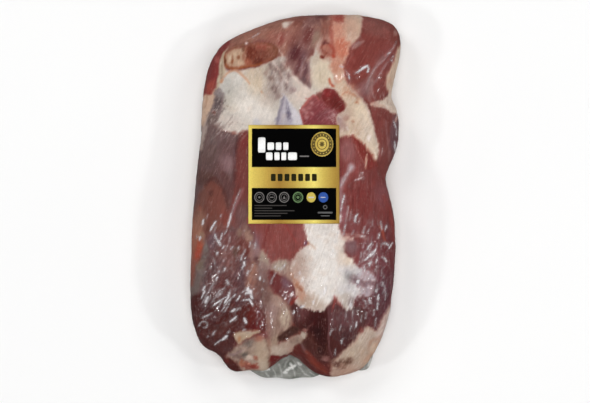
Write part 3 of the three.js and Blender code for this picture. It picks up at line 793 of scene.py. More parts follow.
# --- bottom left fat
low_fat = area([(236, 347), (243, 343), (252, 339.5), (262, 336.6), (268, 342), (270, 352), (269.6, 362), (266, 374),
                (250, 376), (241, 370), (236, 362), (226, 357), (230, 352)], 2.0)
tint(low_fat, (150, 128, 114), fat=0.9, lift=0.6, fibre=64)
tint(blob(262.6, 355, 7.4, 17, -5, 0.6) * low_fat, (168, 147, 128), amount=0.95)
tint(blob(262, 366, 6, 6, 0, 0.6) * low_fat, (184, 166, 148), amount=0.8)
dab(247.6, 343.4, 5, 4, (110, 96, 90), -24, 0.7, amount=0.85)
dab(254, 339, 4, 2.6, (128, 112, 102), -20, 0.7, amount=0.7)
dab(259.4, 338.6, 4.6, 2.8, (150, 96, 82), 0, 0.7, amount=0.8)
dab(238, 357.4, 7, 2.6, (112, 88, 84), 15, 0.7, amount=0.7)
draw([(227.4, 356.6), (235, 353.6), (244.6, 350)], 2.4, (142, 117, 116), 1.4, amount=0.85)
dab(244.7, 354.7, 3.2, 2.8, (96, 86, 80), amount=0.9)
dab(249.4, 358.0, 3.8, 2.8, (194, 174, 160), amount=0.9)
patch([(240.6, 361.4), (247, 361.4), (252, 363.4), (257.8, 364.6), (258.4, 369), (248, 370), (241, 366.6)], (136, 66, 56),
      2.0, "wild", fat=0.2, amount=0.75)
hair(58, 2.0, 9, 2, blob(249, 366, 11, 5, 8, 0.6), (176, 144, 124), 0.55, -0.4)
draw([(267.4, 340), (268.6, 349), (269.2, 358), (268.4, 366)], 1.8, (124, 94, 80), 1.4, "usual", amount=0.7)
dab(255.4, 358.6, 2.2, 2.0, (150, 84, 68), amount=0.85)
dab(242.2, 363.2, 3, 2.6, (160, 106, 84), amount=0.85)
dab(248.8, 363.6, 1.3, 1.1, (206, 142, 122), 0, 0.5, "calm", amount=0.7)
dab(253, 366.6, 3, 1.8, (120, 40, 34), amount=0.6)
hair(58, 1.6, 12, 4, low_fat, (186, 168, 150), 0.5, -0.5)
hair(56, 1.8, 12, 7, low_fat * blob(244, 352, 12, 12, 0, 0.5), (96, 74, 70), 0.5, -0.5)
patch([(233.6, 333), (241, 331.2), (250, 330.8), (261, 330.8), (251.5, 335.6), (244.3, 340.2), (237.8, 344.2), (235, 339)],
      (182, 158, 134), 1.4, fat=1, lift=0.9)
dab(251, 332.6, 7, 1.8, (168, 148, 132), -4, 0.7, amount=0.6)
dab(239.2, 338.8, 1.8, 3.2, (188, 130, 92), 14, 0.6, "calm", amount=0.85)
dab(237, 336, 2.2, 2.6, (196, 168, 142), amount=0.6)

# --- muscle strip and fat at the bottom right
patch([(292.6, 350), (299, 344.5), (306, 351), (313, 359), (322, 364.5), (333, 366), (334, 380), (318, 380),
       (306, 370), (299, 359.5), (293, 355.5)], (97, 46, 42), 1.6, fat=0, fibre=-50, lift=0.4)
draw([(300.8, 344), (303.6, 349), (306.6, 354)], 2.6, (122, 92, 90), 1.6, amount=0.75)
draw([(306, 352.4), (312, 360.6), (319, 368), (327, 373)], 5.0, (124, 57, 46), 2.4, amount=0.85)
draw([(303, 356), (309, 365), (317, 372)], 2.2, (84, 42, 40), 1.6, amount=0.5)
right_fat = area([(334, 361), (340, 354.4), (346.2, 349.5), (351, 345), (355.2, 340.6), (358.8, 335.6), (361, 331.2),
                  (363.6, 329), (366.6, 327.7), (371, 328), (374.6, 330.2), (377.4, 330.4), (380, 325.8), (382, 320.4),
                  (384.4, 315.6), (386.6, 312), (389, 306.4), (394.4, 306), (394, 322), (388, 338), (380, 354), (372, 366),
                  (362, 375), (348, 381), (332, 382), (331.6, 370)], 2.1, "frayed")
tint(right_fat, (182, 162, 146), fat=1, lift=0.8, fibre=60)
tint(blob(366, 340, 8, 10, 30, 0.7) * right_fat, (180, 160, 146), amount=0.8)
tint(blob(352, 352, 9, 7, -40, 0.8) * right_fat, (176, 156, 138), amount=0.8)
tint(blob(345, 373, 16, 6.6, -8, 0.8) * right_fat, (180, 142, 124), amount=0.9)
tint(blob(366, 361, 6, 6, 30, 0.7) * right_fat, (192, 158, 136), amount=0.7)
tint(blob(383.6, 324, 6, 18, 16, 0.6) * right_fat, (206, 184, 175), amount=0.9)
draw([(380.6, 336), (377, 345), (372, 354), (366, 361)], [2.6, 4.0, 4.4, 3.0], (190, 142, 116), 2.6, "wild", amount=0.75)
dab(372.4, 347.6, 3.0, 5.0, (204, 178, 156), 20, 0.8, amount=0.75)
dab(359, 341, 4, 4, (190, 172, 152), 30, 0.9, "wild", amount=0.6)
dab(350, 356, 5, 3, (190, 168, 148), -30, 0.9, "wild", amount=0.6)
draw([(376.4, 339.6), (372, 340.6), (369, 345), (368.4, 350)], 2.4, (176, 126, 102), 2.0, "usual", amount=0.7)
dab(363, 352, 4, 5, (180, 152, 132), 30, 0.9, "wild", amount=0.6)
draw([(336, 376.4), (346, 375.6), (356, 372.6), (364, 368)], 2.8, (156, 94, 76), 2.0, amount=0.75)
draw([(386.4, 316), (384, 327), (380, 338)], 1.2, (176, 138, 132), 1.0, amount=0.6)
dab(342, 363, 10, 4, (136, 108, 94), -10, 0.9, "wild", fat=0.5, amount=0.7)
dab(336.6, 363.6, 3.4, 2.6, (90, 60, 54), -10, 0.8, "wild", fat=0.2, amount=0.9)
dab(346.6, 361.4, 4.0, 3.0, (86, 62, 52), -10, 0.8, "wild", fat=0.3, amount=0.9)
dab(341.4, 361.4, 2.6, 1.6, (102, 78, 68), -10, 0.8, "wild", amount=0.8)
dab(341.4, 367, 4, 1.8, (120, 86, 72), -6, 0.8, "wild", amount=0.75)
dab(326.4, 360, 4.2, 2.2, (148, 104, 98), 12, 0.9, "wild", amount=0.85)
hair(58, 2.0, 16, 5, right_fat, (206, 190, 176), 0.5, -0.4)
hair(52, 2.2, 14, 2, right_fat, (162, 134, 116), 0.45, -0.5)
dab(361, 330.6, 2.4, 3, (118, 50, 46), 20, 0.5, fat=0, amount=0.7)

# --- top: brown-red band under the top edge
patch([(226, 44), (240, 33), (262, 24), (290, 13), (316, 10), (330, 12), (330, 22), (320, 26), (310, 34),
       (300, 46), (292, 60), (284, 66), (277, 60), (277, 51), (270, 42), (256, 39), (244, 42), (232, 47)],
      (143, 99, 87), 2.4, "ragged", fat=0.3, fibre=64)
dab(262, 33, 16, 6, (147, 104, 91), -22, amount=0.7)
dab(248, 40, 7, 4, (146, 106, 92), -20, amount=0.6)
dab(300, 20, 11, 5, (124, 76, 68), -10, amount=0.75)
dab(314, 17, 10, 4.5, (108, 70, 66), -6, amount=0.8)
dab(280.4, 38.6, 4, 6, (138, 74, 69), 10, 0.7, amount=0.85)
dab(273, 36, 6, 5, (150, 96, 86), -20, amount=0.6)
dab(288, 34, 4, 8, (150, 104, 96), 24, amount=0.6)
hair(28, 2.0, 16, 1, blob(262, 32, 26, 9, -22, 0.5), (176, 136, 122), 0.6, -0.4)
hair(34, 2.2, 14, 5, blob(256, 36, 24, 9, -22, 0.5), (118, 74, 62), 0.5, -0.4)
hair(72, 2.0, 12, 7, blob(246, 37, 16, 8, -22, 0.5), (140, 108, 92), 0.5, -0.4)
hair(64, 1.6, 14, 4, blob(284, 46, 12, 16, 10, 0.5), (186, 150, 138), 0.7, -0.3)
hair(70, 1.7, 16, 6, blob(300, 30, 22, 16, 0, 0.5), (166, 124, 114), 0.55, -0.45)
hair(56, 1.7, 16, 2, blob(306, 24, 22, 12, 0, 0.5), (92, 58, 56), 0.5, -0.5)

# --- silver-white fat and membrane, upper left and middle
silver = area([(219, 62), (224, 69), (236, 70.6), (250, 69), (262, 64.6), (272, 60), (282, 56), (290, 58), (296, 60),
               (312, 56), (316, 44), (322, 26), (330, 16), (346, 11), (361, 12), (360, 34), (350, 46), (347, 56), (343, 66),
               (344, 80), (338, 92), (328, 88), (320, 92), (312, 97), (304, 105), (301, 112), (306, 130), (262, 134),
               (246, 130), (238, 134), (229, 131), (219, 128), (210, 124), (199, 131), (200, 112), (205, 95), (212, 82)], 1.7)
tint(silver, (198, 187, 176), fat=1, lift=0.9, fibre=70)
tint(blob(238, 100, 22, 24, 0, 0.7) * silver, (206, 198, 189), amount=0.9)
tint(blob(234, 80, 12, 8, 0, 0.7) * silver, (206, 200, 193), amount=0.85)
tint(blob(226, 90, 6, 10, 10, 0.8) * silver, (184, 180, 174), amount=0.85)
tint(blob(229, 103, 7, 9, 0, 0.8) * silver, (190, 180, 166), amount=0.7)
tint(blob(236, 94, 10, 9, 0, 0.9, "wild") * silver, (184, 177, 168), amount=0.7)
tint(blob(251, 106, 15, 16, 0, 0.7) * silver, (219, 210, 201), amount=0.85)
tint(blob(257, 83, 9, 12, -20, 0.8) * silver, (201, 181, 158), amount=0.9)
tint(blob(262, 70, 8, 7, 0, 0.8) * silver, (182, 166, 150), amount=0.85)
tint(blob(252, 73, 6, 5, 0, 0.8) * silver, (198, 178, 158), amount=0.8)
tint(blob(266, 98, 6, 10, 0, 0.8) * silver, (203, 188, 176), amount=0.8)
tint(blob(264, 117, 14, 9, 0, 0.7) * silver, (212, 204, 197), amount=0.7)
tint(blob(277, 78, 10, 22, 12, 0.6) * silver, (148, 131, 124), amount=0.9)
tint(blob(286, 86, 9, 12, -30, 0.7) * silver, (172, 156, 151), amount=0.8)
tint(blob(230, 122, 12, 7, 0, 0.8) * silver, (194, 180, 172), amount=0.7)
tint(blob(207, 106, 4.4, 12, 10, 0.8) * silver, (201, 171, 148), amount=0.85)
tint(blob(322, 72, 11, 17, 5, 0.6) * silver, (205, 188, 166), amount=0.95)
tint(blob(302, 96, 9, 9, -20, 0.7) * silver, (212, 194, 183), amount=0.8)
tint(blob(346, 28, 15, 14, 10, 0.7) * silver, (196, 158, 137), amount=0.95)
tint(blob(357, 26, 5, 10, 5, 0.7) * silver, (201, 174, 152), amount=0.8)
dab(261.5, 92, 1.5, 1.5, (188, 136, 108), soft=0.6, amount=0.7)
dab(256.8, 122.5, 4, 4, (198, 196, 197), amount=0.5)
hair(62, 1.8, 20, 7, silver * blob(240, 100, 30, 28, 0, 0.6), (186, 176, 167), 0.45, -0.4)
hair(112, 1.6, 18, 1, silver * blob(252, 92, 24, 22, 0, 0.6), (222, 214, 205), 0.5, -0.45)
hair(114, 1.6, 16, 5, silver * blob(260, 84, 12, 16, 0, 0.6), (184, 162, 140), 0.5, -0.45)
# dark meat under torn membrane, left
patch([(213, 91), (219, 88), (223.6, 96), (224, 106), (221, 114), (216, 121), (208, 128), (199, 130), (201, 122),
       (206, 114), (210, 104)], (122, 110, 110), 2.2, "frayed", fat=0.5, amount=0.9)
dab(218, 103, 3.8, 10, (86, 77, 78), 14, 0.8, "wild", fat=0.3, amount=0.9)
dab(220, 94, 3, 4, (150, 146, 146), 0, 0.8, amount=0.7)
dab(212, 117, 5, 7, (104, 92, 88), 30, 0.8, "wild", fat=0.3, amount=0.85)
dab(206, 124, 5, 5, (104, 90, 86), 30, 0.8, "wild", fat=0.3, amount=0.8)
dab(213.8, 112.4, 1.6, 2.0, (146, 86, 78), amount=0.7)
hair(54, 1.5, 12, 3, blob(215, 112, 12, 20, 20, 0.5), (176, 164, 157), 0.7, -0.3)
hair(60, 1.6, 12, 6, blob(216, 108, 11, 22, 20, 0.5), (78, 68, 66), 0.6, -0.45)
hair(52, 2.4, 16, 2, blob(222, 125, 20, 11, 0, 0.5), (128, 110, 106), 0.5, -0.35)
hair(52, 1.7, 18, 7, blob(228, 120, 24, 18, 0, 0.5), (212, 206, 200), 0.55, -0.4)
dab(213, 128, 8, 4.4, (110, 92, 90), -10, 0.8, "wild", fat=0.2, amount=0.8)
draw([(207, 116), (205, 126), (202.6, 136), (201, 148)], [2.0, 4.0, 3.6, 2.0], (172, 160, 152), 1.8, "frayed", fat=0.5,
     amount=0.9)
hair(58, 2.0, 14, 1, blob(210, 134, 12, 16, 20, 0.6), (150, 134, 130), 0.45, -0.45)
dab(234, 132.6, 2.4, 2.2, (140, 88, 80), amount=0.7)
# olive-cream strip and dark red strip along the top left edge
patch([(217.6, 67), (220.6, 57), (226.4, 48), (228.6, 46.6), (225.6, 54), (223.4, 64), (226, 70), (222, 78), (217, 90),
       (214.6, 87), (217, 77)], (184, 166, 144), 1.4, fat=1)
draw([(224.2, 50), (222.2, 58), (221.4, 66)], 1.2, (160, 138, 116), 1.0, amount=0.6)
draw([(221.6, 65), (221.8, 72), (220.6, 78)], 1.3, (128, 104, 88), 0.9, amount=0.75)
patch([(226, 38), (230.4, 43.2), (226, 49), (220.8, 55.4), (218.6, 61), (218, 66), (217.4, 76.7), (215.2, 88), (211, 95.4),
       (205.5, 96.5), (199, 96), (203, 78), (206, 62), (212, 48)], (126, 57, 55), 1.4, fat=0, fibre=75, lift=0.3)
dab(210, 88, 4.5, 7, (150, 72, 62), 10, amount=0.85)
dab(213, 68, 3, 10, (120, 54, 52), 12, amount=0.7)
dab(216.8, 59, 2, 3.4, (168, 92, 86), 16, 0.6, amount=0.8)
draw([(214, 78), (212.6, 86), (210.6, 93)], 1.2, (170, 96, 84), 0.9, amount=0.5)
patch([(203, 95), (210, 95), (214.6, 90), (213.4, 101), (209, 112), (203, 126), (198, 124), (200, 106)], (198, 168, 146),
      1.6, "frayed", fat=0.9)
draw([(206.8, 95), (206.6, 101), (205, 108)], 1.3, (160, 118, 96), 1.1, amount=0.6)

# spots and strands of the torn membrane, middle
for x, y, rx, ry, turn, tone in ((269.6, 66.4, 2.8, 3.4, 10, (120, 102, 98)), (275.3, 69, 2.6, 4, 10, (124, 108, 104)),
                                 (280.4, 72.8, 1.8, 4.4, 10, (94, 76, 73)), (271.4, 79, 2, 2.6, 0, (122, 106, 100)),
                                 (281, 79.6, 2, 2.6, 0, (130, 112, 108)), (274.2, 89.2, 2.6, 4.4, 12, (104, 90, 87)),
                                 (286.8, 87, 1.8, 3.4, 10, (120, 106, 104)), (293.7, 90.4, 2.6, 3, 0, (142, 127, 126)),
                                 (277, 96, 2.4, 3, 0, (138, 124, 120)), (266, 74, 2, 3, 0, (140, 124, 116)),
                                 (287, 65, 3.4, 5, 20, (116, 80, 75)), (289, 77, 2.6, 3.6, 20, (128, 110, 108))):
    dab(x, y, rx, ry, tone, turn, 0.8, "wild", fat=0.4, amount=0.85)
hair(116, 2.0, 12, 1, blob(282, 74, 13, 22, -12, 0.5), (202, 186, 178), 0.65, -0.35)
hair(66, 2.2, 12, 4, blob(278, 82, 13, 20, 0, 0.5), (194, 182, 175), 0.5, -0.4)
hair(90, 2.0, 9, 6, blob(279, 76, 13, 20, 0, 0.5), (126, 110, 106), 0.5, -0.4)
for line in ([(272, 60), (277, 68), (283, 77), (288, 84)], [(280, 52), (284, 62), (290, 72), (294, 78)]):
    draw(line, 1.9, (204, 184, 174), 1.4, "wild", amount=0.6)
# blue-grey patch over the label's top edge
patch([(282.6, 94), (286, 97), (292, 105), (299, 113), (302.4, 124), (290, 125), (288, 110)], (196, 192, 200), 1.6,
      "calm", fat=0.9, amount=0.85)
patch([(282.8, 94), (287, 102), (290, 111), (292, 125), (276, 125), (278.6, 113), (281, 103)], (162, 156, 166), 2.2,
      "frayed", fat=0.8, amount=0.8)
draw([(283, 97), (281.2, 106), (278.8, 115), (276.6, 124)], 2.4, (126, 119, 133), 1.3, "usual", amount=0.8)
dab(278, 120.6, 2.4, 4.4, (128, 122, 136), 14, 0.8, amount=0.75)
draw([(283.6, 97), (287.4, 104), (289.6, 112), (291, 122)], 1.9, (140, 134, 148), 1.3, "usual", amount=0.7)
dab(288.2, 113.6, 2.0, 5.4, (94, 88, 106), -6, 0.8, amount=0.9)
draw([(284.6, 103), (284, 111), (283.4, 120)], 1.9, (188, 183, 191), 1.3, amount=0.7)
dab(256.6, 122.4, 3, 3, (178, 174, 184), amount=0.5)
hair(78, 1.4, 12, 5, blob(285, 110, 8, 16, 0, 0.5), (190, 184, 192), 0.6, -0.35)

# --- purple muscle with pale strands, top middle
purple = area([(318, 15), (324, 20), (321, 32), (316, 44), (310.6, 56), (309.2, 64.5), (310, 71), (310.8, 85.6), (307, 86.4),
               (300.2, 81), (294.2, 75), (290, 66), (286, 58), (287, 50), (292, 40), (300, 28), (308, 18)], 2.8, "ragged")
tint(purple, (126, 90, 86), fat=0.2, fibre=64, amount=0.9)
dab(295.2, 53, 5.6, 9, (84, 45, 47), 18, fat=0, amount=0.95)
dab(303, 56.5, 3.6, 7, (108, 74, 78), 10, 0.7, fat=0, amount=0.7)
draw([(300.6, 59), (298.6, 66), (295.7, 73)], 5.0, (90, 52, 54), 2.2, fat=0, amount=0.85)
draw([(306.2, 64), (305.4, 71), (304.4, 80)], 4.0, (94, 64, 68), 1.8, fat=0, amount=0.85)
draw([(302.8, 62), (301.4, 70), (300.6, 77)], 1.8, (150, 124, 128), 1.3, amount=0.75)
draw([(309.4, 62), (309, 72), (309.4, 82)], 1.8, (140, 118, 122), 1.2, amount=0.7)
dab(302.5, 81, 5, 4, (100, 78, 80), amount=0.8)
dab(309, 85.4, 2.4, 3.4, (120, 102, 104), amount=0.7)
dab(308, 35, 4.6, 9, (102, 56, 54), 22, amount=0.8)
dab(317, 37, 4, 10, (152, 128, 112), 18, amount=0.8)
dab(316, 26, 3, 4, (146, 104, 92), amount=0.6)
dab(297, 34, 5, 8, (128, 84, 76), 30, amount=0.6)
dab(292, 42, 4, 6, (112, 66, 62), 30, amount=0.6)
dab(321, 17, 5, 3.6, (98, 62, 60), amount=0.85)
hair(66, 1.5, 18, 4, purple * blob(300, 40, 18, 26, 18, 0.5), (172, 138, 130), 0.65, -0.45)
hair(64, 1.4, 14, 7, purple * blob(302, 68, 12, 22, 0, 0.5), (160, 138, 140), 0.55, -0.5)
draw([(294.2, 78), (300, 83.6), (306, 88.4), (311.4, 92.4)], 4.6, (216, 198, 186), 1.8, fat=1, amount=0.85)
draw([(320.8, 19), (322.8, 26), (323.6, 33)], 1.7, (176, 138, 126), 1.0, amount=0.8)
dab(327.6, 30.8, 1.5, 2.6, (216, 190, 180), 0, 0.6, "calm", amount=0.85)

# --- fat band stained orange and red
patch([(331, 12), (346, 12), (346, 26), (346, 38), (350, 44), (347, 55), (343, 66), (343, 78), (344, 88),
       (339, 93), (335, 86), (333, 74), (331.4, 62), (331, 50), (330.6, 36), (329.6, 24)], (194, 148, 128), 3.2, "wild",
      fat=0.85, lift=0.4)
patch([(337, 38), (344, 38.6), (350, 42), (348, 51), (344, 58), (338.6, 58), (334, 52), (334.6, 44)], (186, 112, 91), 3.6,
      "wild", amount=0.85)
dab(338, 30, 6, 9, (188, 128, 110), 0, 0.9, "wild", amount=0.6)
dab(353, 28, 6, 12, (192, 154, 135), 5, 0.8, amount=0.7)
dab(338.4, 66, 6, 9, (182, 128, 108), 0, 0.8, "wild", amount=0.85)
dab(340, 79, 4.6, 8, (198, 160, 138), 0, 0.8, "wild", amount=0.8)
patch([(329, 15.6), (335, 14.6), (342, 15), (344.6, 18.6), (341, 22), (335, 22.6), (330.6, 21)], (160, 84, 74), 2.0, "wild",
      amount=0.9)
dab(339, 18, 4, 2.4, (146, 66, 58), 0, 0.6, amount=0.8)
draw([(330.6, 20), (331, 31), (331.6, 42), (332.6, 56)], 3.6, (160, 82, 72), 2.0, "usual", amount=0.8)
draw([(337, 39), (341, 42), (345.6, 49)], 1.4, (172, 92, 74), 1.1, "usual", amount=0.7)
draw([(344, 37), (340, 45), (341.6, 53)], 1.3, (176, 98, 78), 1.1, "usual", amount=0.6)
draw([(346.4, 42), (344.6, 50), (341, 57)], 1.3, (178, 102, 82), 1.1, "usual", amount=0.6)
hair(70, 1.5, 8, 3, blob(343, 34, 12, 20, 0, 0.5), (212, 176, 156), 0.55, -0.35)
hair(110, 1.6, 8, 6, blob(342, 40, 10, 22, 0, 0.5), (174, 108, 88), 0.5, -0.5)
hair(96, 1.6, 9, 1, blob(338, 70, 8, 16, 0, 0.5), (186, 126, 100), 0.5, -0.5)
# ring cluster beside it
dab(325.6, 28, 5.0, 14, (126, 80, 70), 4, 0.7, "frayed", fat=0.3, amount=0.9)
dab(326.8, 48.6, 7.4, 8.6, (150, 92, 80), 0, 0.8, "wild", fat=0.4, amount=0.9)
dab(325.6, 48.8, 2.6, 2.8, (166, 116, 100), soft=0.9, fat=0.6, amount=0.7)
draw([(330, 44.8), (326.4, 42.2), (322.8, 44.4), (321.8, 48.6), (323.6, 52), (327.4, 52.6)], [2.4, 3.0, 2.2, 1.6, 2.2, 1.8],
     (128, 70, 60), 1.3, "usual", amount=0.8)
dab(325.4, 42.6, 2.6, 1.8, (94, 54, 52), 0, 0.8, "usual", fat=0, amount=0.8)
draw([(328.6, 44.6), (332, 47.4), (333.8, 51.4), (333.6, 56)], [2.2, 3.0, 3.2, 2.2], (150, 74, 62), 1.5, "usual", amount=0.8)
dab(329.6, 54.4, 2.6, 1.8, (150, 88, 74), 0, 0.8, amount=0.7)
dab(333.4, 56.4, 1.9, 1.7, (160, 72, 58), 0, 0.5, "calm", amount=0.85)
dab(322.2, 57, 2.3, 1.7, (106, 42, 36), 10, 0.5, "calm", fat=0, amount=0.95)
draw([(323.6, 56.2), (325.6, 54.4), (327, 52.6)], 1.3, (118, 66, 54), 0.7, amount=0.8)
dab(315, 61, 4, 5, (188, 170, 154), amount=0.7)
draw([(320, 68), (319.6, 75), (320.4, 82)], 0.9, (180, 160, 138), 0.9, amount=0.6)
draw([(329, 78.8), (330.2, 82.6), (332, 85.4), (334.8, 87.2)], 2.5, (172, 76, 52), 1.0, amount=0.95)

# --- cream fat band down the right
band = area([(334, 88), (339, 84), (343.6, 80), (348, 85.6), (353.6, 90.6), (360, 97), (365.6, 103.6), (369.4, 111), (372, 119), (374.6, 131),
             (378.6, 143), (379, 152), (377.4, 160.6), (373.6, 156), (368, 149), (362, 142.4), (354, 135.8),
             (347, 135.6), (340, 136), (337, 126), (336, 116), (345, 109), (343.6, 100)], 1.7, "frayed")
tint(band, (204, 183, 162), fat=1, lift=1.0, fibre=64)
tint(blob(361, 112, 8, 16, -22, 0.7) * band, (216, 197, 174), amount=0.85)
tint(blob(366, 130, 6, 14, -18, 0.7) * band, (211, 194, 179), amount=0.8)
tint(blob(354, 130, 8, 6, 20, 0.8) * band, (192, 168, 148), amount=0.6)
dab(349, 91, 9, 6, (202, 160, 135), 30, 0.8, amount=0.85)
draw([(342, 95.4), (344.4, 92.8), (348, 92.2), (352, 93.4), (355.8, 97.4), (358.4, 104)], 1.7, (188, 128, 102), 0.9,
     amount=0.85)
draw([(352, 93.2), (357, 96), (361, 101)], 1.3, (194, 140, 112), 0.9, amount=0.6)
draw([(345, 88), (350, 90), (356, 96)], 1.3, (196, 146, 118), 1.0, amount=0.5)
draw([(345, 82), (351, 88.4), (358, 94.6), (364, 101.6), (367.6, 109), (370, 116), (372.4, 124), (374.6, 132), (376.4, 143),
      (377.2, 152)], 2.4, (196, 180, 172), 1.8, "frayed", amount=0.65)
dab(369.2, 138.3, 1.8, 3, (232, 220, 216), amount=0.85)
dab(346, 118.4, 2.8, 2.8, (140, 104, 94), 0, 0.6, fat=0.5, amount=0.9)
dab(342, 116, 6, 6, (180, 154, 144), 0, 0.8, "wild", amount=0.7)
dab(343, 127, 4, 5, (158, 126, 120), amount=0.75)
dab(339.6, 121, 3, 4, (154, 124, 126), amount=0.7)
draw([(352.6, 124.7), (356, 129.6), (360, 135.3)], 2.0, (190, 156, 134), 1.3, amount=0.7)
dab(356.4, 102.6, 1.3, 1.3, (178, 116, 86), 0, 0.6, "calm", amount=0.9)
dab(352.9, 121.2, 1.6, 1.5, (172, 116, 92), 0, 0.6, "calm", amount=0.85)
draw([(346.6, 126.6), (348.4, 131)], 1.5, (216, 204, 194), 0.9, amount=0.7)
draw([(338.6, 115.4), (341, 118.6)], 1.5, (206, 190, 182), 0.9, amount=0.6)
dab(350, 112, 5, 7, (190, 164, 146), 10, 0.9, "wild", amount=0.6)
dab(358, 124, 5, 6, (196, 172, 152), 20, 0.9, "wild", amount=0.6)
hair(60, 2.0, 18, 1, band, (222, 208, 192), 0.5, -0.4)
hair(66, 2.0, 18, 4, band, (178, 150, 130), 0.5, -0.45)
patch([(371.4, 103.4), (377, 101.4), (383, 99.6), (387.4, 96.4), (391, 90), (398, 84), (404, 100), (404, 113), (394, 113.6),
       (386, 109), (378, 106.6), (372, 106)], (206, 186, 170), 1.6, fat=1, lift=-0.3)
dab(374.6, 104, 4, 1.8, (184, 146, 132), -10, 0.8, amount=0.8)
hair(84, 1.7, 9, 3, blob(388, 103, 12, 9, 10, 0.6), (222, 214, 208), 0.6, -0.35)
hair(88, 1.8, 9, 6, blob(384, 105, 12, 7, 10, 0.6), (158, 128, 120), 0.55, -0.35)
draw([(377, 105.4), (382, 105), (387, 107.6)], 1.3, (186, 142, 122), 0.9, amount=0.6)
patch([(398.4, 48), (405, 48), (405, 80), (393, 92), (388, 89), (387, 80), (390.3, 69.8), (394.6, 61.4)],
      (200, 174, 153), 2.0, "frayed", fat=1)
dab(390.6, 81.4, 2.0, 3.4, (182, 142, 120), amount=0.5)
hair(72, 1.6, 16, 6, blob(395, 74, 7, 20, 10, 0.5), (216, 194, 176), 0.5, -0.4)

# --- bright red muscle above the label's right half
red = area([(321.3, 97.4), (323.4, 91), (327, 88.6), (333.6, 89.2), (338.4, 94.6), (343, 103), (344.9, 108.6), (341, 112.2),
            (337.4, 114), (336, 119), (336.6, 126), (337, 134), (305, 134), (303.4, 125), (301.6, 117), (300.4, 111.4),
            (305, 104.4), (310.6, 97.6), (313.6, 95.2), (316.6, 95.8), (319, 100)], 0.9, "calm")
tint(red, (128, 64, 66), fat=0, fibre=44, lift=-0.3)
tint(blob(308, 108, 8, 11, 35, 0.6) * red, (152, 90, 89), amount=0.85)
tint(area([(321.3, 97.4), (323.4, 91), (327, 88.6), (333.6, 89.2), (338.4, 94.6), (343, 103), (344.9, 108.6), (341, 112.2),
           (336, 111.2), (329.4, 107.8), (323, 103)], 1.2, "calm") * red, (112, 48, 46), amount=0.95)
tint(blob(328, 92, 6, 5, 20, 0.7) * red, (128, 50, 50), amount=0.8)
tint(blob(336, 104, 6, 6, 40, 0.7) * red, (98, 44, 42), amount=0.8)
tint(blob(318, 110, 8, 8, 0, 0.6) * red, (124, 62, 66), amount=0.7)
tint(blob(325, 117, 10, 6, 0, 0.6) * red, (118, 66, 70), amount=0.7)
tint(blob(311, 121, 8, 5, 0, 0.6) * red, (122, 60, 65), amount=0.7)
tint(blob(331, 115, 7, 5, 20, 0.8) * red * smooth(streaks(28, 1.7, 8, 2) * 2.6 + 0.4), (164, 118, 120), amount=0.75)
tint(blob(334.6, 119, 4, 8, 0, 0.8, "wild") * red * smooth(streaks(118, 1.8, 8, 5) * 2.6 + 0.5), (176, 146, 142), amount=0.8)
draw([(300.6, 111.6), (303, 107.4), (308, 100.6), (312.6, 96.2), (316.4, 96.2), (318.8, 100.4)], 2.2, (176, 96, 90), 1.1,
     amount=0.8)
draw([(300.8, 112.6), (302, 119), (304.4, 127)], 1.8, (150, 66, 66), 1.0, amount=0.7)
draw([(321, 97.4), (323.6, 102.6), (329.4, 107)], 1.1, (158, 92, 90), 0.9, amount=0.6)
# small pink spots: highlights painted into the muscle colour
for x, y in ((306.3, 112.2), (303.6, 109.6), (309.4, 107.6), (311.6, 103), (306, 117.6), (312, 113)):
    dab(x, y, 1.7, 1.5, (188, 140, 140), 30, 0.7, amount=0.6)
dab(307, 98.4, 1.2, 1.2, (176, 88, 78), amount=0.6)
hair(48, 1.7, 9, 6, red * (1 - blob(334, 100, 9, 11, 30, 0.4)), (166, 108, 110), 0.5, -0.4)
hair(120, 1.7, 9, 3, red, (104, 46, 50), 0.35, -0.6)

# --- blood-stained bone cut, upper left
oval = area([(224.6, 57), (229, 50.6), (236, 47.6), (243, 46.4), (252, 43.6), (262, 42), (271, 43), (276.6, 47), (277, 52.6),
             (273, 58.6), (266, 62), (258, 64.4), (249, 66.4), (240, 67.6), (232, 68), (226.6, 66.4), (224.4, 62)], 1.6)
tint(oval, (146, 98, 80), fat=0.4, lift=0.4)
patch([(226, 57), (230.6, 51.4), (238, 48.6), (244.4, 48), (246, 54), (246, 61), (243, 65.4), (234, 66.4), (228, 64.6)],
      (182, 154, 130), 1.8, fat=0.8, amount=0.95)
tint(blob(263, 53, 16, 11, -8, 0.5, "wild") * oval, (124, 72, 60), fat=0.2, amount=0.9)
tint(blob(250.4, 53, 5, 6.6, 0, 0.7, "wild") * oval, (101, 50, 40), amount=0.9)
tint(blob(258, 61.4, 5, 3.4, -10, 0.7, "wild") * oval, (90, 46, 38), amount=0.85)
tint(blob(247.6, 61.6, 3.4, 3, 0, 0.7) * oval, (148, 84, 66), amount=0.7)
tint(blob(263.6, 46.8, 5.4, 3.4, -10, 0.7, "wild") * oval, (146, 80, 68), amount=0.8)
tint(blob(272.6, 51, 4.6, 7, 0, 0.7, "wild") * oval, (130, 88, 71), amount=0.8)
draw([(258, 47.6), (262, 44), (268, 45.4), (271.6, 50), (270, 56), (264, 58.6)], 1.5, (160, 110, 98), 1.2, "wild",
     amount=0.6)
draw([(261, 51), (264.4, 48.8), (267.4, 51), (266, 54.6)], 1.3, (150, 98, 86), 1.1, "wild", amount=0.5)
draw([(255.6, 48), (257, 54), (261, 59)], 1.3, (94, 50, 42), 1.1, "wild", amount=0.6)
draw([(262, 55), (267, 57.4), (272, 54)], 1.4, (104, 60, 48), 1.1, "wild", amount=0.6)
draw([(269, 43), (274.8, 46), (277, 51), (275, 56.6), (268.6, 61)], 2.0, (108, 66, 50), 1.1, "usual", amount=0.8)
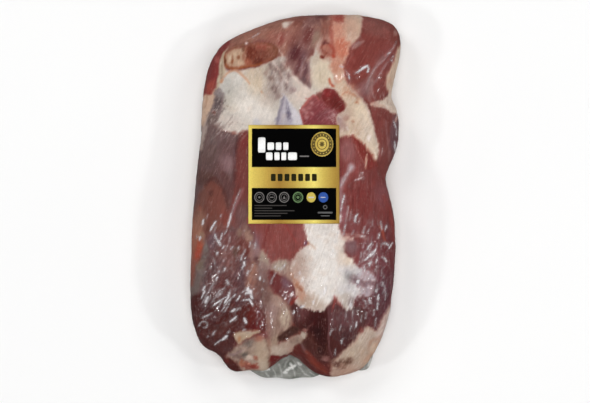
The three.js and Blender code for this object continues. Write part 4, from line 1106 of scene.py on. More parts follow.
draw([(225.2, 55.6), (224.4, 60.4), (225.2, 64.6), (228, 67.4), (234, 68.2), (241, 67.6), (249, 66.2), (256, 64.8),
      (261.6, 62.8)], 2.1, (143, 82, 53), 0.8, amount=0.95)
dab(224.9, 61, 1.2, 3.6, (98, 62, 44), 0, 0.5, "calm", amount=0.8)
draw([(224.6, 56), (228.4, 49.8), (234.4, 46.6), (243, 44.4), (249, 41)], 1.6, (140, 94, 72), 1.1, "usual", amount=0.85)
draw([(229.8, 54), (228.4, 58), (229.6, 62.6)], 1.1, (158, 116, 90), 0.8, amount=0.6)
dab(232, 61, 1.7, 3.0, (134, 80, 56), 0, 0.6, "calm", amount=0.9)
dab(233, 56.6, 1.1, 2.4, (150, 106, 82), 0, 0.6, "calm", amount=0.7)
dab(238.6, 57, 1.8, 2.1, (132, 80, 58), 0, 0.6, "calm", amount=0.85)
dab(243, 48.8, 1.6, 2.4, (104, 66, 52), 0, 0.6, "calm", amount=0.85)
dab(243.4, 57, 1.4, 3, (140, 90, 70), 0, 0.6, "calm", amount=0.7)
dab(229.4, 58.4, 1.9, 3, (202, 182, 160), 0, 0.6, amount=0.8)
dab(236, 54.4, 2.0, 2.4, (200, 176, 152), 0, 0.6, amount=0.8)
dab(240.4, 62.8, 2.4, 1.8, (196, 164, 138), 0, 0.6, amount=0.8)
dab(246, 43.2, 1.5, 1.3, (196, 164, 154), 0, 0.6, "calm", amount=0.7)
hair(70, 1.6, 7, 4, blob(238, 56, 11, 9, 0, 0.4), (198, 170, 146), 0.5, -0.4)
hair(60, 1.7, 7, 1, oval * blob(261, 54, 15, 9, -8, 0.4), (92, 50, 42), 0.55, -0.3)
hair(110, 1.6, 6, 6, oval * blob(262, 53, 15, 9, -8, 0.4), (162, 108, 92), 0.5, -0.4)
draw([(220.4, 82.4), (223, 77.6), (228.4, 72), (235, 70.6), (240.8, 74), (245.4, 78.8), (249.6, 83.4)], 2.0,
     (196, 144, 114), 0.9, amount=0.85)
draw([(234, 69), (239.4, 70.6), (244, 75), (248.6, 80)], 1.3, (194, 150, 122), 0.9, amount=0.6)
dab(221.6, 80.6, 1.4, 2.6, (184, 128, 96), 30, 0.6, "calm", amount=0.7)
patch([(282.1, 23.1), (287, 21.2), (293.4, 21.4), (289.6, 25.3), (285.9, 28.3), (283.2, 27)], (198, 180, 168), 1.8, "calm",
      fat=1, amount=0.7)
dab(285.4, 24.4, 2.8, 2.6, (214, 200, 190), 0, 0.6, "calm", fat=1, amount=0.9)

# under the wrinkled film at the left the meat is a little darker
COL = COL * (1 - 0.15 * blob(226, 294, 34, 52, 8, 0.6, "calm") - 0.12 * blob(264, 297, 6, 13, -8, 0.8, "calm"))[:, None]

# everything fat: cloudy pinkish and paler streaks
tint(FAT * smooth(noise(PTS, 9, 3, 3) * 2.4 - 0.2), (196, 168, 148), amount=0.20)
tint(FAT * smooth(noise(PTS, 6, 5, 3) * 2.4 - 0.4), (176, 166, 164), amount=0.20)
tint(FAT * smooth(streaks(72, 1.8, 15, 5) * 2.6 - 0.4), (232, 223, 214), amount=0.16)

# --- silver skin and pale sinew lines in the muscle
thin = smooth(np.abs(streaks(84, 5.0, 34, 2)) * -14 + 1.0)
tint(thin * (1 - FAT) * smooth(noise(PTS, 30, 3, 2) * 2), (160, 122, 118), amount=0.26)
thin2 = smooth(np.abs(streaks(66, 6.0, 30, 5)) * -14 + 1.0)
tint(thin2 * (1 - FAT) * blob(224, 270, 30, 50, 0, 0.5), (156, 120, 118), amount=0.35)

# cloudy change of tone
COL *= (1 + 0.05 * MED + 0.045 * FIN + 0.04 * BIG)[:, None]
# thin blood haze where fat meets muscle
COL += ((1 - np.abs(2 * FAT - 1)) * (FAT > 0.02) * 4)[:, None] * np.array([1.0, -0.6, -0.9])

np.clip(COL, 0, 255, out=COL)

# ------------------------------------------------------------- meat: relief
edge_calm = smooth(np.hypot(np.maximum(0, np.abs(PTS[:, 0] - LABEL_X) - LABEL_W / 2),
                            np.maximum(0, np.abs(PTS[:, 1] - LABEL_Y) - LABEL_H / 2)) / 7.0)
on_top = PTS[:, 2] > 40
calm = np.where(on_top, edge_calm, 1.0)
under = smooth((6.0 - PTS[:, 2]) / 6.0)          # close to the table


def groove(points, width, depth):
    """A furrow between two muscles: depth mm along a line in the picture frame."""
    global LIFT
    LIFT = LIFT - depth * stroke(points, width, width * 0.6, "usual")


groove([(343, 66), (346, 80), (356, 92), (368, 101), (380, 105)], 4.0, 1.4)
groove([(371, 104), (374, 122), (377, 140), (379, 156), (385, 178)], 4.0, 1.6)
groove([(352, 135), (362, 142), (371, 154), (378, 164), (384, 180)], 3.6, 1.2)
groove([(236, 140), (233, 175), (231, 210), (236, 236)], 4.0, 1.0)
groove([(307, 232), (306, 245), (297, 255), (280, 261)], 3.2, 1.2)
groove([(262, 272), (264, 290), (266, 310), (267, 330), (268, 350)], 3.4, 1.6)
groove([(292, 300), (293, 318), (289, 333), (280, 343)], 3.6, 1.8)
groove([(336, 300), (332, 316), (328, 336), (331, 356)], 3.0, 1.4)
groove([(304, 330), (298, 338), (294, 346), (290, 356)], 5.0, 2.2)
groove([(216, 50), (218, 64), (215, 80), (210, 96)], 2.6, 0.8)
groove([(299.5, 112), (305, 104), (318, 94), (326, 88)], 2.6, 0.8)
groove([(214, 244), (212, 262), (203, 284), (198, 300)], 3.4, 0.9)
groove([(236, 340), (248, 334), (264, 333)], 2.6, 0.8)
groove([(226, 356), (236, 358), (244, 368)], 2.6, 1.2)
groove([(340, 366), (346, 352), (358, 336)], 2.6, 0.8)
groove([(341, 236), (352, 232), (363, 238), (362, 252)], 2.6, 0.7)

RELIEF = LIFT + 0.8 * noise(PTS, 24, 6, 2) + 0.55 * MED + 0.22 * FIN * (1 - 0.4 * FAT)
RELIEF = RELIEF * calm * (1 - 0.85 * under)
MEAT_OFF = RELIEF - 0.55 - 0.45 * smooth((PTS[:, 2] - 45) / 12.0)
meat_pts = PTS + NRM * MEAT_OFF[:, None]
meat_pts[:, 2] = np.maximum(meat_pts[:, 2], 0.5)
set_points(meat, meat_pts)

rad = np.radians(ANG)
grain = np.stack([(-PTS[:, 0] * np.sin(rad) + PTS[:, 1] * np.cos(rad)) / 1.25,
                  (PTS[:, 0] * np.cos(rad) + PTS[:, 1] * np.sin(rad)) / 15.0, PTS[:, 2] / 2.6], 1)
put_vector(meat, "grain", grain)
put_float(meat, "fat", FAT)
put_colour(meat, "tone", np.maximum((lin(COL) - FILM_VEIL) / LIGHT_LEVEL, lin(COL) * 0.25))

# ------------------------------------------------------------- film: wrinkles
WR = np.zeros(N)                 # how wrinkled the film is
for m, v in (
        (blob(226, 288, 40, 58, 0, 0.5), 0.95), (blob(232, 232, 20, 30, 0, 0.6), 0.5),
        (blob(372, 262, 26, 52, 0, 0.5), 0.95), (blob(370, 300, 22, 34, 0, 0.5), 1.0),
        (blob(322, 262, 34, 42, 0, 0.5), 0.4), (blob(350, 325, 18, 24, 0, 0.5), 0.8),
        (blob(276, 300, 12, 46, 0, 0.5), 0.4), (blob(262, 272, 16, 26, 0, 0.5), 0.8),
        (blob(366, 70, 26, 40, 0, 0.6), 0.12), (blob(397, 128, 6, 22, 0, 0.6), 0.35),
        (blob(350, 180, 14, 28, 0, 0.6), 0.3), (blob(214, 180, 22, 44, 0, 0.6), 0.12)):
    WR = np.maximum(WR, m * v)
WR = np.maximum(WR, 0.05)
WR *= 1 - 0.9 * blob(316, 332, 13, 24, 0, 0.4)
side_band = smooth((46 - PTS[:, 2]) / 14.0)
WR = np.maximum(WR, 0.35 * smooth((40 - PTS[:, 2]) / 12.0))


def crests(angle, across, along, which, power=5.0):
    """Narrow crest lines along a direction."""
    return np.clip(1 - np.abs(streaks(angle, across, along, which)), 0, 1) ** power


leftness = LEFTNESS
w_left = crests(64, 7.0, 34, 3) + 0.6 * crests(52, 5.0, 22, 6)
w_right = crests(88, 6.5, 36, 4) + 0.5 * crests(101, 5.0, 24, 7)
wrinkle = lerp(w_right, w_left, leftness)
# on the sides the film is drawn in upright folds
theta = np.arctan2(PTS[:, 1], PTS[:, 0])
round_mm = theta * np.hypot(PTS[:, 0], PTS[:, 1])
side_p = np.stack([np.cos(theta) * 130 / 9.0, np.sin(theta) * 200 / 9.0, PTS[:, 2] / 42.0], 1)
w_side = np.clip(1 - np.abs(noise(side_p, 1.0, 1, 2)) * 1.6, 0, 1) ** 4
side_q = np.stack([PTS[:, 0] / 16.0, PTS[:, 1] / 16.0, PTS[:, 2] / 7.0], 1)
w_side = w_side + 0.5 * np.clip(1 - np.abs(noise(side_q, 1.0, 5, 2)) * 1.6, 0, 1) ** 4
wrinkle = lerp(wrinkle, w_side, side_band)

# creases that can be told one by one: points, width, height mm, whiteness. The height raises a real ridge in the film;
# the whiteness is a painted glint, a highlight painted as white along the crease with a faint soft glow round it
CREASES_WITH_GLINTS = (
    # upper right muscle
    ([(355.4, 73), (360, 70.2), (364, 67.4), (367.6, 65.4)], [1.4, 2.6, 3.4, 2.4], 0.4, 0.85), ([(366.4, 66), (368.4, 68), (367.8, 72)], 2.2, 0.4, 0.8),
    ([(361, 68), (366, 66)], 1.4, 0.3, 0.5),
    ([(348.6, 75.4), (349.0, 79.0)], 1.9, 0.5, 0.85), ([(352, 46.5), (359, 41.5)], 1.1, 0.4, 0.30),
    ([(397, 41), (390, 53), (380, 64), (372, 73), (366, 88)], 1.0, 0.6, 0.28), ([(388, 62), (380, 74), (374, 84)], 1.0, 0.5, 0.22),
    ([(387.6, 54), (391, 52.2)], 1.8, 0.5, 0.6), ([(391.2, 59.4), (393.2, 61.2)], 1.6, 0.5, 0.6),
    ([(392.6, 57.8), (394, 56.2)], 1.2, 0.4, 0.5), ([(339.6, 66.4), (343, 67.2)], 2.2, 0.4, 0.75),
    ([(252.4, 37), (255.6, 35.2), (259.4, 33.4)], 1.3, 0.4, 0.45), ([(245.4, 43.4), (246.8, 42.8)], 1.6, 0.3, 0.5),
    # right muscle under the fold
    ([(394.0, 121.4), (395.8, 127.6)], 2.0, 0.5, 0.65), ([(396.2, 117.6), (398.2, 112.6)], 1.5, 0.4, 0.4),
    ([(394.6, 142), (395.4, 152)], 2.4, 0.4, 0.7), ([(396.6, 129), (396.4, 136)], 1.4, 0.4, 0.4),
    # right of the label
    ([(340.6, 186), (344.6, 178), (349, 171), (352.2, 166.4)], [5.0, 5.4, 4.0, 3.4], 0.3, 0.26), ([(342.2, 203), (344.2, 195)], 2.0, 0.5, 0.95),
    ([(340.8, 212), (342.2, 204)], 1.6, 0.4, 0.6), ([(354.9, 222), (355.6, 217.4), (357.6, 213.8)], 2.6, 0.5, 0.7),
    ([(346, 222), (347.2, 213), (348.6, 206)], 2.0, 0.4, 0.32), ([(349.6, 221), (351.4, 211)], 1.3, 0.4, 0.30),
    ([(363.6, 234), (365, 226)], 1.4, 0.4, 0.5), ([(381, 221), (382, 230)], 1.6, 0.4, 0.55),
    ([(340.4, 222), (341.2, 214)], 1.5, 0.4, 0.5), ([(358.6, 224), (360, 218)], 1.2, 0.3, 0.3),
    ([(372, 226), (372.6, 220)], 1.2, 0.3, 0.3),
    # below the label on the right
    ([(367.4, 249.4), (369.4, 246), (372, 242.8)], 2.5, 0.4, 0.75), ([(369.2, 250), (371, 247), (373, 244.4)], 1.3, 0.3, 0.5),
    ([(366.2, 258.2), (369.6, 255.2), (372.4, 252)], 2.3, 0.4, 0.85), ([(370.2, 256.6), (373, 253.2), (375.6, 249.6)], 2.5, 0.4, 0.85),
    ([(372, 258.6), (374.4, 255), (376, 252)], 1.3, 0.3, 0.5), ([(364.2, 260.6), (366.4, 259), (368.4, 257.8)], 1.9, 0.4, 0.7),
    ([(368.6, 264.8), (370.4, 262), (372.4, 259.4)], 1.5, 0.3, 0.5), ([(363, 255), (365, 250.6)], 1.3, 0.3, 0.4),
    ([(361.6, 262), (363.4, 257.6)], 1.2, 0.3, 0.35), ([(376.4, 248), (377.6, 243.6)], 1.3, 0.3, 0.35),
    ([(369.2, 266.4), (372, 261.6)], 1.7, 0.5, 0.75),
    ([(376, 263.4), (377.6, 257.6)], 1.3, 0.4, 0.55), ([(378.6, 238.2), (379.4, 233)], 2.3, 0.5, 0.6),
    ([(385.4, 229.6), (387, 225.4)], 2.6, 0.5, 0.6), ([(389.2, 248.6), (390.6, 246), (392.6, 243)], 1.9, 0.5, 0.9),
    ([(386.2, 243.2), (388.6, 245.2)], 2.6, 0.5, 0.85), ([(382.2, 243.8), (386, 243.2)], 1.5, 0.4, 0.65),
    ([(384, 257.4), (385.6, 259.8), (386.8, 261.6)], 2.1, 0.4, 0.9), ([(381.8, 256.4), (383, 258.4)], 1.4, 0.3, 0.5),
    ([(364.1, 270.4), (364.5, 265.6)], 1.6, 0.5, 0.95), ([(360.4, 236.8), (364.6, 236.2)], 1.7, 0.3, 0.55),
    ([(362.6, 233), (363.6, 229)], 1.4, 0.4, 0.5), ([(367.6, 232), (369.4, 229)], 1.4, 0.4, 0.5),
    ([(352, 234.6), (353.4, 230)], 1.4, 0.4, 0.4), ([(343.4, 235), (344.6, 228), (346, 224)], 2.0, 0.4, 0.5),
    ([(360.6, 258), (361.6, 252)], 1.3, 0.4, 0.45), ([(363, 248), (364, 243)], 1.2, 0.3, 0.35), ([(376.6, 272), (377.2, 266)], 1.3, 0.4, 0.4),
    ([(357.4, 283), (358.4, 279.2)], 3.2, 0.6, 1.0), ([(378.0, 300.4), (378.8, 294.8)], 2.3, 0.6, 0.95),
    ([(376.2, 292.6), (377.2, 288.4)], 2.8, 0.5, 0.6), ([(377.5, 309.6), (377.8, 302.6)], 1.6, 0.5, 0.85),
    ([(382.2, 286), (383, 282.4)], 2.1, 0.5, 0.65), ([(369.3, 302.8), (369.8, 298)], 1.7, 0.5, 0.85),
    ([(363, 300), (365.6, 301.6), (366, 306), (364, 308.4)], 1.2, 0.4, 0.45), ([(371, 304), (370.4, 299)], 1.4, 0.4, 0.5),
    ([(350.2, 307.6), (351, 303.2)], 2.3, 0.5, 0.85), ([(385.4, 300), (385.8, 292)], 1.4, 0.4, 0.45),
    ([(381.6, 276), (382, 269)], 1.3, 0.4, 0.4), ([(384, 292), (384.6, 285)], 1.3, 0.4, 0.4), ([(373.6, 316), (374.2, 309)], 1.4, 0.4, 0.5),
    ([(375.4, 327), (376.2, 318)], 1.3, 0.4, 0.45), ([(356.0, 327.4), (356.6, 322.4)], 2.0, 0.5, 1.0),
    ([(330, 335.6), (330.8, 332), (333, 330)], 1.5, 0.4, 0.45), ([(335, 355.4), (335.2, 349.6)], 1.4, 0.4, 0.45),
    ([(341.5, 344), (342, 339.4)], 1.6, 0.4, 0.6), ([(339.6, 330.6), (340.8, 325)], 1.3, 0.4, 0.4),
    ([(345.6, 318), (346.4, 312)], 1.3, 0.4, 0.35), ([(352.4, 317), (353, 311)], 1.3, 0.4, 0.4), ([(361, 322), (361.6, 316)], 1.3, 0.4, 0.4),
    ([(366, 319), (366.6, 312)], 1.3, 0.4, 0.4), ([(350.4, 331), (351, 326)], 1.2, 0.4, 0.35),
    # middle, below the label
    ([(299.2, 274.6), (299.8, 271.4)], 2.0, 0.4, 0.6), ([(302.4, 281), (303.6, 277)], 2.2, 0.4, 0.5),
    ([(324.3, 294), (325.7, 287)], 2.8, 0.5, 0.8), ([(313.4, 304.4), (313.7, 300)], 1.6, 0.4, 0.85),
    ([(300.4, 307.8), (302.4, 306.4), (304.8, 306)], 2.5, 0.4, 0.9), ([(292.6, 313.8), (293.4, 311.8)], 2.1, 0.4, 0.85),
    ([(278.4, 269.8), (279, 267.4)], 1.4, 0.3, 0.55), ([(281, 270.4), (281.7, 267.4)], 1.6, 0.4, 0.65),
    ([(284, 267.2), (285, 264.4)], 1.9, 0.4, 0.65), ([(274.6, 268), (275.5, 266.2)], 1.4, 0.3, 0.55),
    ([(270.4, 282.8), (273, 277.6), (275.8, 272.8)], 1.2, 0.4, 0.5), ([(270.9, 284), (271.5, 281.4)], 1.6, 0.3, 0.55),
    ([(284.6, 299.2), (285.4, 295.8)], 1.4, 0.3, 0.45), ([(287.8, 304), (290.4, 297), (291.8, 291.4)], 1.1, 0.4, 0.35),
    ([(260, 279.8), (260.3, 277.2)], 2.3, 0.4, 0.8), ([(263.6, 282.2), (264.4, 280)], 1.7, 0.3, 0.5),
    ([(334.4, 243), (337, 236), (339.4, 229)], 1.8, 0.3, 0.4), ([(330.4, 258), (333.6, 248)], 1.8, 0.3, 0.35),
    # lower left, under the label's corner
    ([(210.4, 230.6), (212.6, 226.4), (215.8, 221.4)], 2.3, 0.6, 0.95), ([(214.4, 234.4), (216.2, 238.4)], 1.9, 0.4, 0.75),
    ([(216.8, 239.4), (219, 242.4), (220.8, 245.4)], 2.6, 0.5, 0.95), ([(222.2, 233.4), (220.4, 240.2)], 1.9, 0.5, 0.75),
    ([(229.4, 242.2), (229.9, 236.8)], 1.6, 0.4, 0.45), ([(222.2, 248.8), (224.4, 245.4)], 1.7, 0.4, 0.65),
    ([(226.4, 247.6), (228.6, 244.4)], 1.3, 0.4, 0.45), ([(230.6, 249.4), (233.6, 246.2)], 1.4, 0.4, 0.5),
    ([(225, 251.2), (226.8, 248.4)], 1.3, 0.3, 0.4), ([(237.8, 249.2), (239.1, 246.2)], 1.9, 0.4, 0.55),
    ([(249.8, 246.6), (250.2, 242.2)], 1.8, 0.4, 0.55), ([(254.7, 248.2), (255.5, 242.4)], 2.0, 0.4, 0.5),
    ([(217.2, 254.8), (217.3, 251.8)], 2.1, 0.4, 0.75), ([(213.5, 259.2), (214.7, 264.2)], 1.9, 0.4, 0.5),
    ([(224.1, 270.8), (224.9, 267.8)], 2.5, 0.4, 0.6), ([(218.5, 273.2), (219.3, 270.8)], 1.9, 0.4, 0.5),
    ([(215.5, 280.6), (217.5, 276.8)], 2.0, 0.5, 0.7), ([(226.9, 280.2), (228.5, 284.8)], 2.3, 0.5, 0.8),
    ([(223.3, 261.6), (224.1, 259.2)], 1.9, 0.4, 0.4), ([(209.6, 268), (210.4, 265)], 1.6, 0.3, 0.4),
    ([(240.9, 260.8), (241.7, 256.8)], 1.9, 0.5, 0.85), ([(242, 256.4), (243.8, 252.6), (245.4, 249.4)], 1.5, 0.4, 0.6),
    ([(243.7, 266.2), (244.3, 261.6)], 2.7, 0.6, 1.0), ([(241.9, 269.6), (242.3, 267)], 1.9, 0.4, 0.65),
    ([(247.1, 274.8), (248.1, 270.8)], 2.2, 0.4, 0.75), ([(250.4, 271), (253.2, 264)], 1.5, 0.4, 0.4),
    ([(247.8, 288.4), (250.4, 293.6)], 5.2, 0.6, 1.0), ([(246.6, 288.8), (251.6, 293.8)], 8.0, 0.2, 0.28), ([(246.2, 293.8), (251.8, 290.2)], 3.4, 0.7, 1.0),
    ([(250.4, 294.6), (252.6, 298.6)], 3.0, 0.6, 1.0), ([(249, 299), (251.6, 303.4)], 2.7, 0.6, 0.95),
    ([(242.8, 300.4), (248.8, 299.6)], 2.3, 0.5, 0.7), ([(241.5, 292.8), (244.3, 290.8)], 1.9, 0.4, 0.5),
    ([(202.8, 290.2), (205, 286.2)], 3.0, 0.6, 1.0), ([(200.8, 298.2), (203.4, 293.6), (205.2, 290.8)], 2.5, 0.6, 0.9),
    ([(205.4, 302.8), (206.6, 299.6), (208.2, 296.6)], 2.9, 0.6, 1.0), ([(201.4, 304), (207, 294), (214, 282.4)], 1.1, 0.4, 0.45),
    ([(204.6, 306), (211, 296)], 1.1, 0.4, 0.45), ([(212.8, 305.8), (219.6, 301), (226.2, 296.8)], 1.6, 0.5, 0.85),
    ([(211, 303), (216, 297), (222, 291.6)], 1.2, 0.4, 0.5), ([(216.4, 295), (220, 290.6), (224.6, 288)], 1.4, 0.4, 0.55),
    ([(218, 296.6), (221.6, 293)], 1.3, 0.4, 0.5), ([(224.2, 303.8), (228, 297.4), (229.5, 291)], 2.4, 0.6, 0.95),
    ([(228.2, 306.4), (231, 298)], 1.3, 0.4, 0.6), ([(233.6, 296.8), (235.1, 294.4)], 2.1, 0.5, 0.7),
    ([(236.9, 300.6), (238.8, 297.4), (239.9, 295.6)], 2.5, 0.5, 0.85), ([(222, 311), (226, 304), (231, 298.4)], 1.4, 0.5, 0.6),
    ([(217.6, 308.4), (222, 300.6)], 1.4, 0.4, 0.55), ([(224.4, 312.4), (227, 307.6)], 1.4, 0.4, 0.55),
    ([(202.4, 317.4), (206.4, 316), (210.8, 313.6)], 2.1, 0.5, 0.6), ([(199.4, 323.6), (203.6, 321.4), (207, 323.6), (206.4, 327.4), (203, 327.8)], 1.4, 0.4, 0.5),
    ([(198.4, 326.2), (200.2, 324.4)], 1.7, 0.4, 0.5), ([(231.4, 311.4), (234.8, 309.6)], 2.9, 0.5, 0.95),
    ([(236.6, 310.6), (239.4, 308), (240.8, 309.4)], 1.5, 0.4, 0.5), ([(230.2, 321.8), (233, 319.6), (236.4, 316.8)], 2.6, 0.6, 0.9),
    ([(244.3, 318.8), (246.1, 323)], 3.1, 0.6, 1.0), ([(212.5, 335.4), (214.7, 331.4)], 1.6, 0.4, 0.55),
    ([(214.6, 344.8), (219.6, 341), (223.6, 338.6)], 1.8, 0.5, 0.75), ([(222.4, 339.8), (226.8, 336.2)], 3.4, 0.6, 0.95),
    ([(227.5, 333.2), (229.5, 331.4)], 1.7, 0.4, 0.55), ([(206.9, 337.8), (208.1, 335.8)], 1.5, 0.4, 0.4),
    ([(252.6, 306), (253.4, 303.6)], 1.7, 0.3, 0.5), ([(243.2, 329.8), (246, 329.4)], 1.8, 0.3, 0.4),
    # left of the label
    ([(199.1, 239.9), (200.1, 236.7)], 2.5, 0.5, 0.95), ([(195.7, 238.2), (196.7, 235.8)], 1.5, 0.3, 0.4),
    ([(202.1, 224.6), (203.5, 219.2)], 2.3, 0.5, 0.9), ([(227.2, 227.6), (229.6, 220.6), (231.2, 213.6)], 2.1, 0.6, 0.9),
    ([(231.2, 214), (236, 200), (240.4, 189)], 1.4, 0.5, 0.42), ([(224.6, 234), (227, 229)], 1.3, 0.4, 0.5),
    ([(220.5, 216.8), (221.5, 214.4)], 1.4, 0.3, 0.45), ([(206.4, 219), (208, 214)], 1.1, 0.3, 0.35),
    ([(213.6, 232), (216.4, 226)], 1.2, 0.3, 0.35),
)
STRAIGHT = PIC + 0.25 * W_MID + 0.35 * W_FINE
SPOTTY = noise(PTS, 3.4, 3, 2)
# the crease glint mask is painted highlight; the ridge is real relief
CREASE_GLINT = np.zeros(N)
RIDGE = np.zeros(N)
for line, width, height, white in CREASES_WITH_GLINTS:
    width = np.asarray(width, float) if isinstance(width, list) else width
    wide = stroke(line, width * 1.3, 1.5, STRAIGHT)
    RIDGE = np.maximum(RIDGE, wide * height * 0.3)
    CREASE_GLINT = np.maximum(CREASE_GLINT, np.maximum(stroke(line, width * 0.72, 1.0, STRAIGHT) * white * 0.92, wide * white * 0.13))
CREASE_GLINT = CREASE_GLINT * (0.74 + 0.26 * smooth(0.6 + 1.4 * SPOTTY))

# loose small folds: pale streaks that come and go over the wrinkled places, partly the film's milky whitening and
# partly painted sheen, streaks of light painted as white
HAZE = np.zeros(N)
for angle, across, along, which, where, strength in (
        (86, 1.25, 8.0, 2, blob(376, 272, 24, 44, 0, 0.6), 0.34), (78, 1.2, 7.0, 5, blob(370, 262, 22, 34, 0, 0.6), 0.30),
        (96, 1.2, 8.0, 7, blob(372, 292, 22, 24, 0, 0.6), 0.30), (84, 1.2, 7.0, 3, blob(350, 326, 15, 22, 0, 0.6), 0.22),
        (60, 1.5, 8.0, 1, blob(228, 285, 34, 46, 0, 0.6), 0.19), (52, 1.5, 7.0, 4, blob(222, 300, 30, 34, 0, 0.6), 0.18),
        (70, 1.5, 7.0, 6, blob(256, 275, 12, 30, 0, 0.6), 0.20), (86, 1.4, 12.0, 0, blob(382, 290, 11, 30, 0, 0.6), 0.25),
        (62, 1.2, 7.0, 2, blob(236, 238, 16, 22, 0, 0.6), 0.24), (80, 1.3, 9.0, 1, blob(350, 205, 12, 20, 0, 0.6), 0.16)):
    HAZE = np.maximum(HAZE, smooth(streaks(angle, across, along, which) * 3.0 - 0.85) * where * strength * 0.6)

film_relief = MEAT_OFF + 0.40 + (np.maximum(0, wrinkle - 0.15) * (0.75 * WR) + RIDGE) * calm * (1 - 0.9 * under)
film_pts = PTS + NRM * film_relief[:, None]
film_pts[:, 2] = np.maximum(film_pts[:, 2], 0.1)
film = make_mesh("clear_film", film_pts, FACES)
put_float(film, "wrinkled", WR * calm)
put_float(film, "crease_glint", CREASE_GLINT)
put_float(film, "haze", HAZE)
put_float(film, "leftness", leftness)
put_float(film, "side", side_band)


# ------------------------------------------------------------------ materials
class Tree:
    """A small helper to write node trees in few lines."""

    def __init__(self, name):
        self.mat = bpy.data.materials.new(name)
        self.mat.use_nodes = True
        self.nt = self.mat.node_tree
        self.nt.nodes.clear()
        self.out = self.nt.nodes.new("ShaderNodeOutputMaterial")

    def node(self, kind, **settings):
        n = self.nt.nodes.new("ShaderNode" + kind)
        for k, v in settings.items():
            setattr(n, k, v)
        return n

    def link(self, a, b):
        self.nt.links.new(a, b)

    def put(self, socket, value):
        if isinstance(value, bpy.types.NodeSocket):
            self.link(value, socket)
        else:
            socket.default_value = value

    def math(self, op, a, b=None, c=None, clamp=False):
        n = self.node("Math", operation=op, use_clamp=clamp)
        for k, v in enumerate((a, b, c)):
            if v is not None:
                self.put(n.inputs[k], v)
        return n.outputs[0]

    def attr(self, name, what="Fac"):
        return self.node("Attribute", attribute_name=name).outputs[what]

    def coords(self):
        return self.node("TexCoord").outputs["Object"]

    def mapping(self, vector, scale=(1, 1, 1), turn=(0, 0, 0)):
        n = self.node("Mapping")
        self.link(vector, n.inputs["Vector"])
        n.inputs["Scale"].default_value = scale
        n.inputs["Rotation"].default_value = [math.radians(a) for a in turn]
        return n.outputs[0]

    def turned(self, vector, degrees, scale):
        """Coordinates turned so that a fold direction lies along y, then scaled."""
        r = self.node("VectorRotate", rotation_type="Z_AXIS")
        self.link(vector, r.inputs["Vector"])
        r.inputs["Angle"].default_value = math.radians(90 - degrees)
        m = self.node("VectorMath", operation="MULTIPLY")
        self.link(r.outputs[0], m.inputs[0])
        m.inputs[1].default_value = scale
        return m.outputs[0]

    def warp(self, vector, scale, amount):
        """Coordinates pushed about by slow noise; amount in metres."""
        n = self.node("TexNoise")
        self.link(vector, n.inputs["Vector"])
        n.inputs["Scale"].default_value = scale
        n.inputs["Detail"].default_value = 1.0
        a = self.node("VectorMath", operation="SUBTRACT")
        self.link(n.outputs["Color"], a.inputs[0])
        a.inputs[1].default_value = (0.5, 0.5, 0.5)
        b = self.node("VectorMath", operation="SCALE")
        self.link(a.outputs[0], b.inputs[0])
        b.inputs["Scale"].default_value = amount * 2
        c = self.node("VectorMath", operation="ADD")
        self.link(vector, c.inputs[0])
        self.link(b.outputs[0], c.inputs[1])
        return c.outputs[0]

    def noise(self, vector, scale, detail=2.0, rough=0.5, distortion=0.0):
        n = self.node("TexNoise")
        self.link(vector, n.inputs["Vector"])
        n.inputs["Scale"].default_value = scale
        n.inputs["Detail"].default_value = detail
        n.inputs["Roughness"].default_value = rough
        n.inputs["Distortion"].default_value = distortion
        return n.outputs[0]

    def voronoi(self, vector, scale, feature="F1"):
        n = self.node("TexVoronoi", feature=feature)
        self.link(vector, n.inputs["Vector"])
        n.inputs["Scale"].default_value = scale
        return n.outputs["Distance"]

    def remap(self, value, a, b, c, d, smooth_step=False):
        n = self.node("MapRange")
        n.interpolation_type = "SMOOTHSTEP" if smooth_step else "LINEAR"
        n.clamp = True
        self.put(n.inputs[0], value)
        for k, v in enumerate((a, b, c, d)):
            self.put(n.inputs[k + 1], v)
        return n.outputs[0]

    def mix(self, fac, a, b, blend="MIX"):
        n = self.node("Mix", data_type="RGBA", blend_type=blend)
        self.put(n.inputs[0], fac)
        for s, v in ((n.inputs[6], a), (n.inputs[7], b)):
            if isinstance(v, (tuple, list, np.ndarray)):
                s.default_value = (*[float(q) for q in v][:3], 1.0)
            else:
                self.link(v, s)
        return n.outputs[2]

    def mixf(self, fac, a, b):
        n = self.node("Mix", data_type="FLOAT")
        self.put(n.inputs[0], fac)
        self.put(n.inputs[2], a)
        self.put(n.inputs[3], b)
        return n.outputs[0]

    def ramp(self, fac, stops):
        n = self.node("ValToRGB")
        e = n.color_ramp.elements
        while len(e) < len(stops):
            e.new(0.5)
        for k, (pos, col) in enumerate(stops):
            e[k].position = pos
            e[k].color = (*[float(v) for v in lin(col)], 1.0)
        self.put(n.inputs[0], fac)
        return n.outputs[0]

    def bump(self, height, distance, strength=1.0, normal=None):
        n = self.node("Bump")
        self.put(n.inputs["Height"], height)
        self.put(n.inputs["Strength"], strength)
        n.inputs["Distance"].default_value = distance
        if normal is not None:
            self.link(normal, n.inputs["Normal"])
        return n.outputs[0]

    def principled(self, colour, roughness, normal=None, **sockets):
        n = self.node("BsdfPrincipled")
        if isinstance(colour, (tuple, list, np.ndarray)):
            n.inputs["Base Color"].default_value = (*[float(v) for v in colour][:3], 1.0)
        else:
            self.link(colour, n.inputs["Base Color"])
        self.put(n.inputs["Roughness"], roughness)
        if normal is not None:
            self.link(normal, n.inputs["Normal"])
        for k, v in sockets.items():
            self.put(n.inputs[k.replace("_", " ")], v)
        return n.outputs[0]

    def end(self, shader):
        self.link(shader, self.out.inputs["Surface"])
        return self.mat


